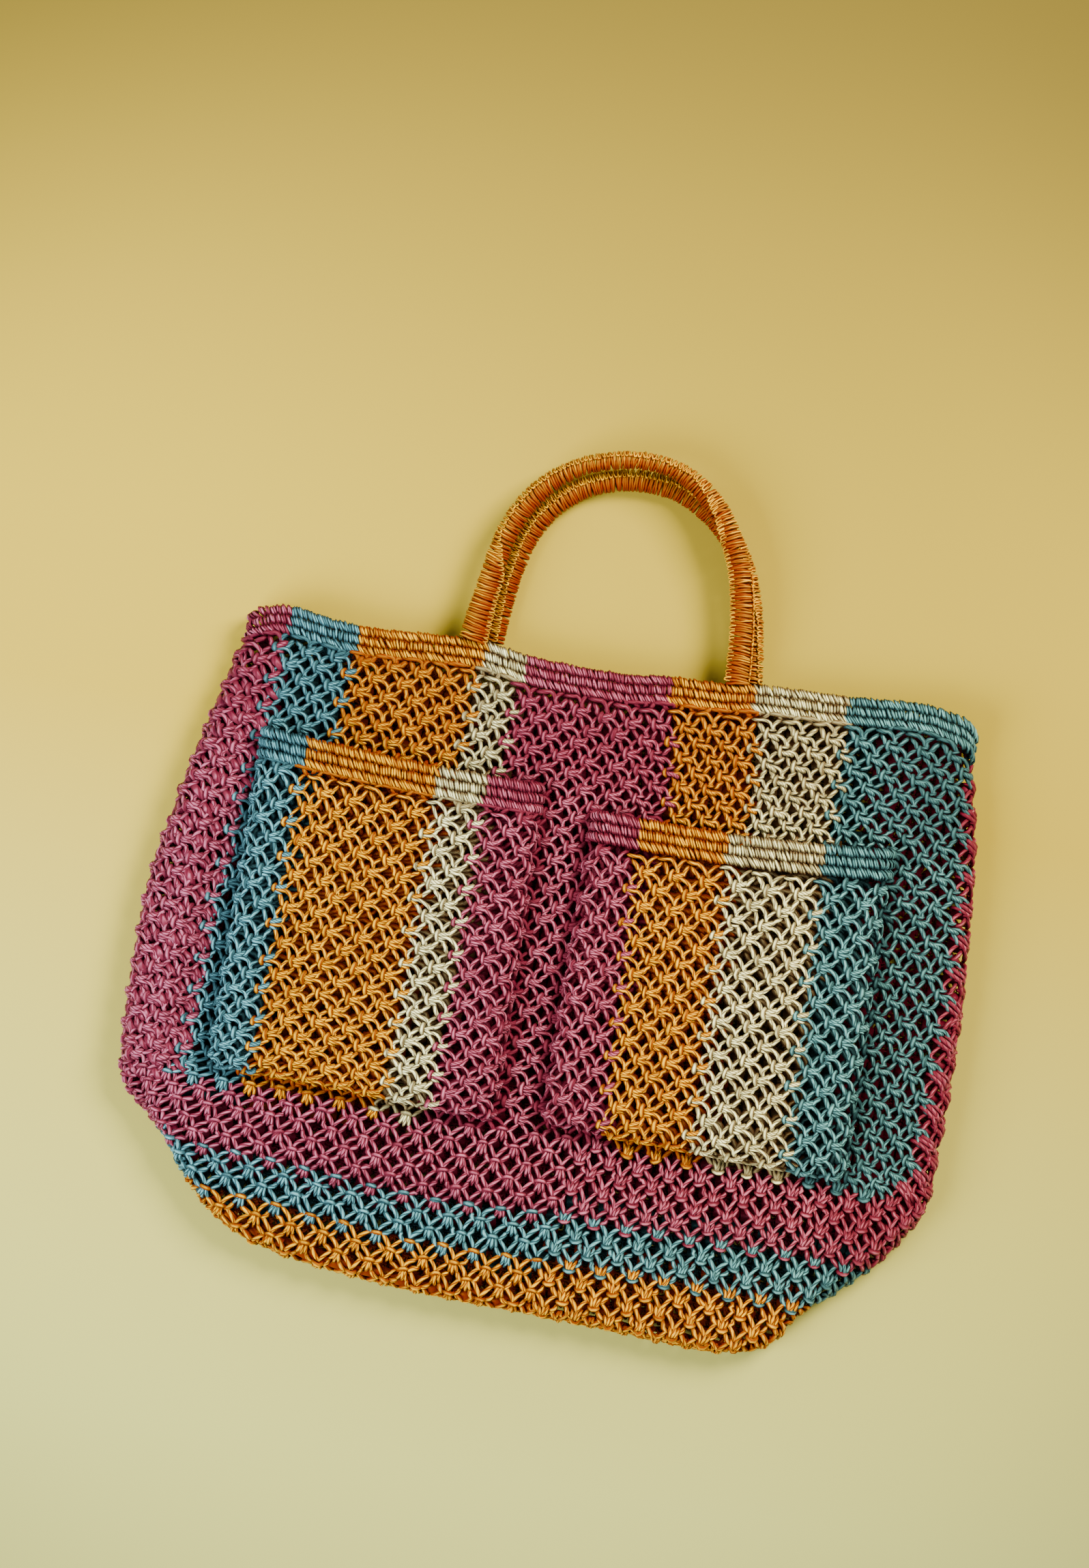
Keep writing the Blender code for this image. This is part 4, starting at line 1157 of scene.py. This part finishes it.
# How far a ring leans along the handle, and how much further on it is at both its sides.
RING_LEAN, RING_LEAN_SPREAD, SIDES_ON = 0.5, 0.45, 0.4
# How high out of the cloth a ring counts, which gives it painted shade on the handle's inner side.
RING_HEIGHT, RING_OUTER = 0.25, 0.95
# How far inside the handle's own outline the middle of the wrap lies.
WRAP_INSET = 0.75
# Ridges of small loops along each handle: share of its length, and how far to its outer side (1)
# or inner side (-1) the ridge lies there.
RIDGES = {
    "handle_front": (
        ((0.0, -0.92), (0.13, -0.92), (0.20, 0.55), (0.45, 0.62), (0.60, 0.45), (0.68, -0.45),
         (0.74, -0.92), (1.0, -0.92)),
        ((0.80, 0.92), (1.0, 0.92)),
    ),
    "handle_back": (
        ((0.0, -0.2), (0.12, 0.1), (0.25, 0.35), (0.55, 0.4), (0.75, 0.3), (1.0, 0.6)),
    ),
}
RIDGE_PITCH, RIDGE_RADIUS = 2.3, 0.62
# A small loop of a ridge: how far along the handle, round it and out of it.
RIDGE_LOOP = np.array((
    (-1.0, -2.3, -0.5), (-0.8, -0.4, 0.6), (-0.1, 1.2, 0.8), (0.7, 0.6, 0.7), (0.8, -1.6, -0.4)))
# The front handle is turned a little on its side over the top: it is narrower there, from within.
TURNED_FROM, TURNED_TO, TURNED_OVER, TURNED_BY = 0.28, 0.66, 0.12, 0.22


def handle_frame(name):
    """The handle's length, and what gives its line, thickness and three ways at any distance."""
    line = smooth_line(HANDLES[name])
    reach = np.concatenate([[0.0], np.cumsum(np.linalg.norm(np.diff(line[:, :3], axis=0), axis=1))])

    def spot_at(distance):
        return np.stack([np.interp(distance, reach, line[:, k]) for k in range(4)], axis=-1)

    def at(distance):
        spot = spot_at(distance)
        along = unit((spot_at(distance + 0.5) - spot_at(distance - 0.5))[..., :3])
        across = unit(np.cross((0.0, 0.0, 1.0), along))
        return spot[..., :3], spot[..., 3], along, across, np.cross(along, across)

    return reach[-1], at


def make_handle(name, dice):
    """Rings of thin wrap round the core, with ridges of small loops where the wrap is knotted."""
    total, at = handle_frame(name)
    yarn = Yarn()
    spots = np.arange(0.7, total - 0.4, RING_PITCH)
    second = np.arange(len(spots)) % 2
    spots = spots + dice.normal(0, 0.16, len(spots)) + second * SECOND_ON
    centre, share, along, across, up = at(spots)
    turns = 2.0 * math.pi * np.arange(RING_POINTS) / RING_POINTS
    lean = dice.normal(RING_LEAN, RING_LEAN_SPREAD, len(spots))
    sunk = second * dice.uniform(*SUNK, len(spots))
    grow = share * (dice.normal(1.0, 0.018, len(spots)) - SUNK_SMALLER * sunk)
    half_wide, half_thick = HANDLE_WIDE / 2 - WRAP_INSET, HANDLE_THICK / 2 - WRAP_INSET
    wide = half_wide * grow[:, None] * np.cos(turns)
    if name == "handle_front":
        place = spots / total
        turned = np.minimum((place - TURNED_FROM) / TURNED_OVER, (TURNED_TO - place) / TURNED_OVER)
        turned = np.clip(turned, 0, 1)
        wide = np.where(np.cos(turns) < 0, wide * (1 - TURNED_BY * 2 * turned[:, None]), wide)
    thick = half_thick * grow[:, None] * np.sin(turns)
    ahead = lean[:, None] * np.cos(turns) + SIDES_ON * np.abs(np.cos(turns))
    ring = (centre[:, None] + wide[..., None] * across[:, None] + thick[..., None] * up[:, None]
            + ahead[..., None] * along[:, None])
    ring += dice.normal(0, 0.09, ring.shape)
    radius = dice.normal(RING_RADIUS, 0.05, len(ring))
    yarn.add(ring, along * 0.3 + up, radius, plain=True, closed=True,
             outward=unit(ring - centre[:, None]),
             shade=dice.uniform(-0.02, 0.25, len(ring)) + SUNK_DARKER * sunk,
             height=RING_HEIGHT + RING_OUTER * np.cos(turns) * np.ones((len(ring), 1)))
    for table in RIDGES[name]:
        shares, sides = np.array(table).T
        spots = np.arange(shares[0] * total + 1.6, shares[-1] * total - 1.2, RIDGE_PITCH)
        spots = spots + dice.normal(0, 0.25, len(spots))
        centre, share, along, across, up = at(spots)
        angle = np.arccos(np.interp(spots / total, shares, sides))
        out = np.cos(angle)[:, None] * across + np.sin(angle)[:, None] * up
        turn = np.cos(angle)[:, None] * up - np.sin(angle)[:, None] * across
        base = (centre + (half_wide * share * np.cos(angle))[:, None] * across
                + (half_thick * share * np.sin(angle))[:, None] * up)
        skew = dice.normal(1.0, 0.25, len(spots))
        points = (base[:, None] + RIDGE_LOOP[:, 0][None, :, None] * along[:, None]
                  + (RIDGE_LOOP[:, 1][None] * skew[:, None])[..., None] * turn[:, None]
                  + RIDGE_LOOP[:, 2][None, :, None] * out[:, None])
        yarn.add(points, out, dice.normal(RIDGE_RADIUS, 0.06, len(spots)), 4, 7, plain=True,
                 shade=dice.uniform(-0.12, 0.12, len(spots)))
    return yarn.object(name + "_wraps", "orange")


handles = {name: make_handle(name, dice) for name in HANDLES}

# ---------------- the solids that the yarn replaces are hidden

# The front stripe that each colour of the mouth's bars goes along with.
STRIPE_OF_BAR = {"magenta": 4, "teal": 1, "orange": 2, "cream": 3}


def net_replaces(made, solid):
    for pieces in made.values():
        for part in ("net", "knots"):
            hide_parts(solid)


net_replaces(front, "body")
net_replaces(back, "body")
for bars in mouth_bars.values():
    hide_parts("rim")
for name in POCKETS:
    net_replaces(pockets[name], name)
    for bars in pocket_bars[name].values():
        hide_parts(name + "_band")
for name, handle in handles.items():
    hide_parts(name)

declare_net(back, {})
declare_net(front,
            {STRIPE_OF_BAR[colour]: bars for colour, bars in mouth_bars.items()})
for name in POCKETS:
    order = POCKET_STRIPES[name][0]
    declare_net(pockets[name],
                {order.index(colour): bars for colour, bars in pocket_bars[name].items()})

# ---------------- floor, light, camera

# The floor fills every view and lies a hair below the bag. Its colour changes up the plan, as painted
# light.
FLOOR_SIZE, FLOOR_BELOW = 24.0, 0.0004
FLOOR_LOW, FLOOR_HIGH = (0.350, 0.374, 0.110), (0.305, 0.232, 0.0195)
FLOOR_SPAN = (-0.32, 0.06)
# How the painted light on the floor changes: past the handles, round the middle, far off, and where
# it is brightest. Each is a span of distance, and the painted light at its two ends.
FLOOR_PAST = (0.14, 0.52, (1.0, 1.0, 1.0), (0.48, 0.48, 0.84))
FLOOR_AROUND = (0.32, 0.66, (1.0, 1.0, 1.0), (0.52, 0.53, 0.60))
FLOOR_BEYOND = (0.62, 1.25, (1.0, 1.0, 1.0), (2.5, 2.5, 2.2))
FLOOR_POOL = (0.0, 0.50, (1.34, 1.36, 1.50), (1.0, 1.0, 1.0))
FLOOR_MIDDLE, POOL_MIDDLE = (-0.04, 0.03, 0.0), (-0.29, 0.07, 0.0)
# Each light: where it stands, what it points at, its size, its power and its colour.
LIGHTS = {
    "key": ((0.98, 1.12, 1.4), (0.0, 0.0, 0.0), 0.9, 144.0, (1.0, 0.88, 0.67)),
    "fill": ((-1.15, -0.75, 1.15), (-0.05, -0.1, 0.0), 1.2, 89.0, (0.95, 0.93, 0.84)),
}
ROOM_COLOUR, ROOM_LIGHT = (1.0, 0.93, 0.80, 1.0), 0.38
CAMERA_PLACE, CAMERA_TURN = (-0.0209, 0.0490, 2.02), math.radians(10.0)
CAMERA_SENSOR, CAMERA_LENS = 24.0, 58.0


def floor_material():
    """Plain paper with painted light: warmer past the handles, paler below the base, with a painted
    pool.
    """
    material, tree, shader = new_material("pale_floor")
    place = tree.add("TexCoord").outputs["Object"]
    up = tree.add("SeparateXYZ", {0: place}).outputs[1]

    def away_from(middle):
        return tree.add("VectorMath", {0: place, 1: middle}, operation="DISTANCE").outputs["Value"]

    shone = tree.mix(tree.ramp(up, *FLOOR_SPAN, kind="LINEAR"), FLOOR_LOW, FLOOR_HIGH)
    for source, (low, high, near, far) in (
            (up, FLOOR_PAST), (away_from(FLOOR_MIDDLE), FLOOR_AROUND),
            (away_from(FLOOR_MIDDLE), FLOOR_BEYOND), (away_from(POOL_MIDDLE), FLOOR_POOL)):
        light = tree.mix(tree.ramp(source, low, high), near, far)
        shone = tree.add("VectorMath", {0: shone, 1: light}, operation="MULTIPLY").outputs[0]
    tree.feed(shader.inputs["Base Color"], shone)
    tree.feed(shader.inputs["Roughness"], 0.9)
    tree.feed(shader.inputs["Specular IOR Level"], 0.1)
    return material


def area_light(name, place, aim, size, power, colour):
    data = bpy.data.lights.new(name, "AREA")
    data.shape = "SQUARE"
    data.size = size
    data.energy = power
    data.color = colour
    obj = bpy.data.objects.new(name, data)
    bpy.context.scene.collection.objects.link(obj)
    obj.location = place
    way = np.array(aim, float) - np.array(place, float)
    flat = math.hypot(way[0], way[1])
    obj.rotation_euler = (math.atan2(flat, -way[2]), 0.0, math.atan2(way[1], way[0]) - math.pi / 2)


bpy.ops.mesh.primitive_plane_add(size=FLOOR_SIZE, location=(0.0, 0.0, -FLOOR_BELOW))
floor = bpy.context.object
floor.name = "floor"
floor.data.materials.append(floor_material())

for name, light in LIGHTS.items():
    area_light(name, *light)

world = bpy.data.worlds.new("room")
world.use_nodes = True
room = world.node_tree.nodes["Background"]
room.inputs["Color"].default_value = ROOM_COLOUR
room.inputs["Strength"].default_value = ROOM_LIGHT
bpy.context.scene.world = world

lens = bpy.data.cameras.new("camera")
lens.sensor_fit = "VERTICAL"
lens.sensor_height = CAMERA_SENSOR
lens.lens = CAMERA_LENS
camera = bpy.data.objects.new("camera", lens)
camera.location = CAMERA_PLACE
camera.rotation_euler = (0.0, 0.0, CAMERA_TURN)
bpy.context.scene.collection.objects.link(camera)
bpy.context.scene.camera = camera
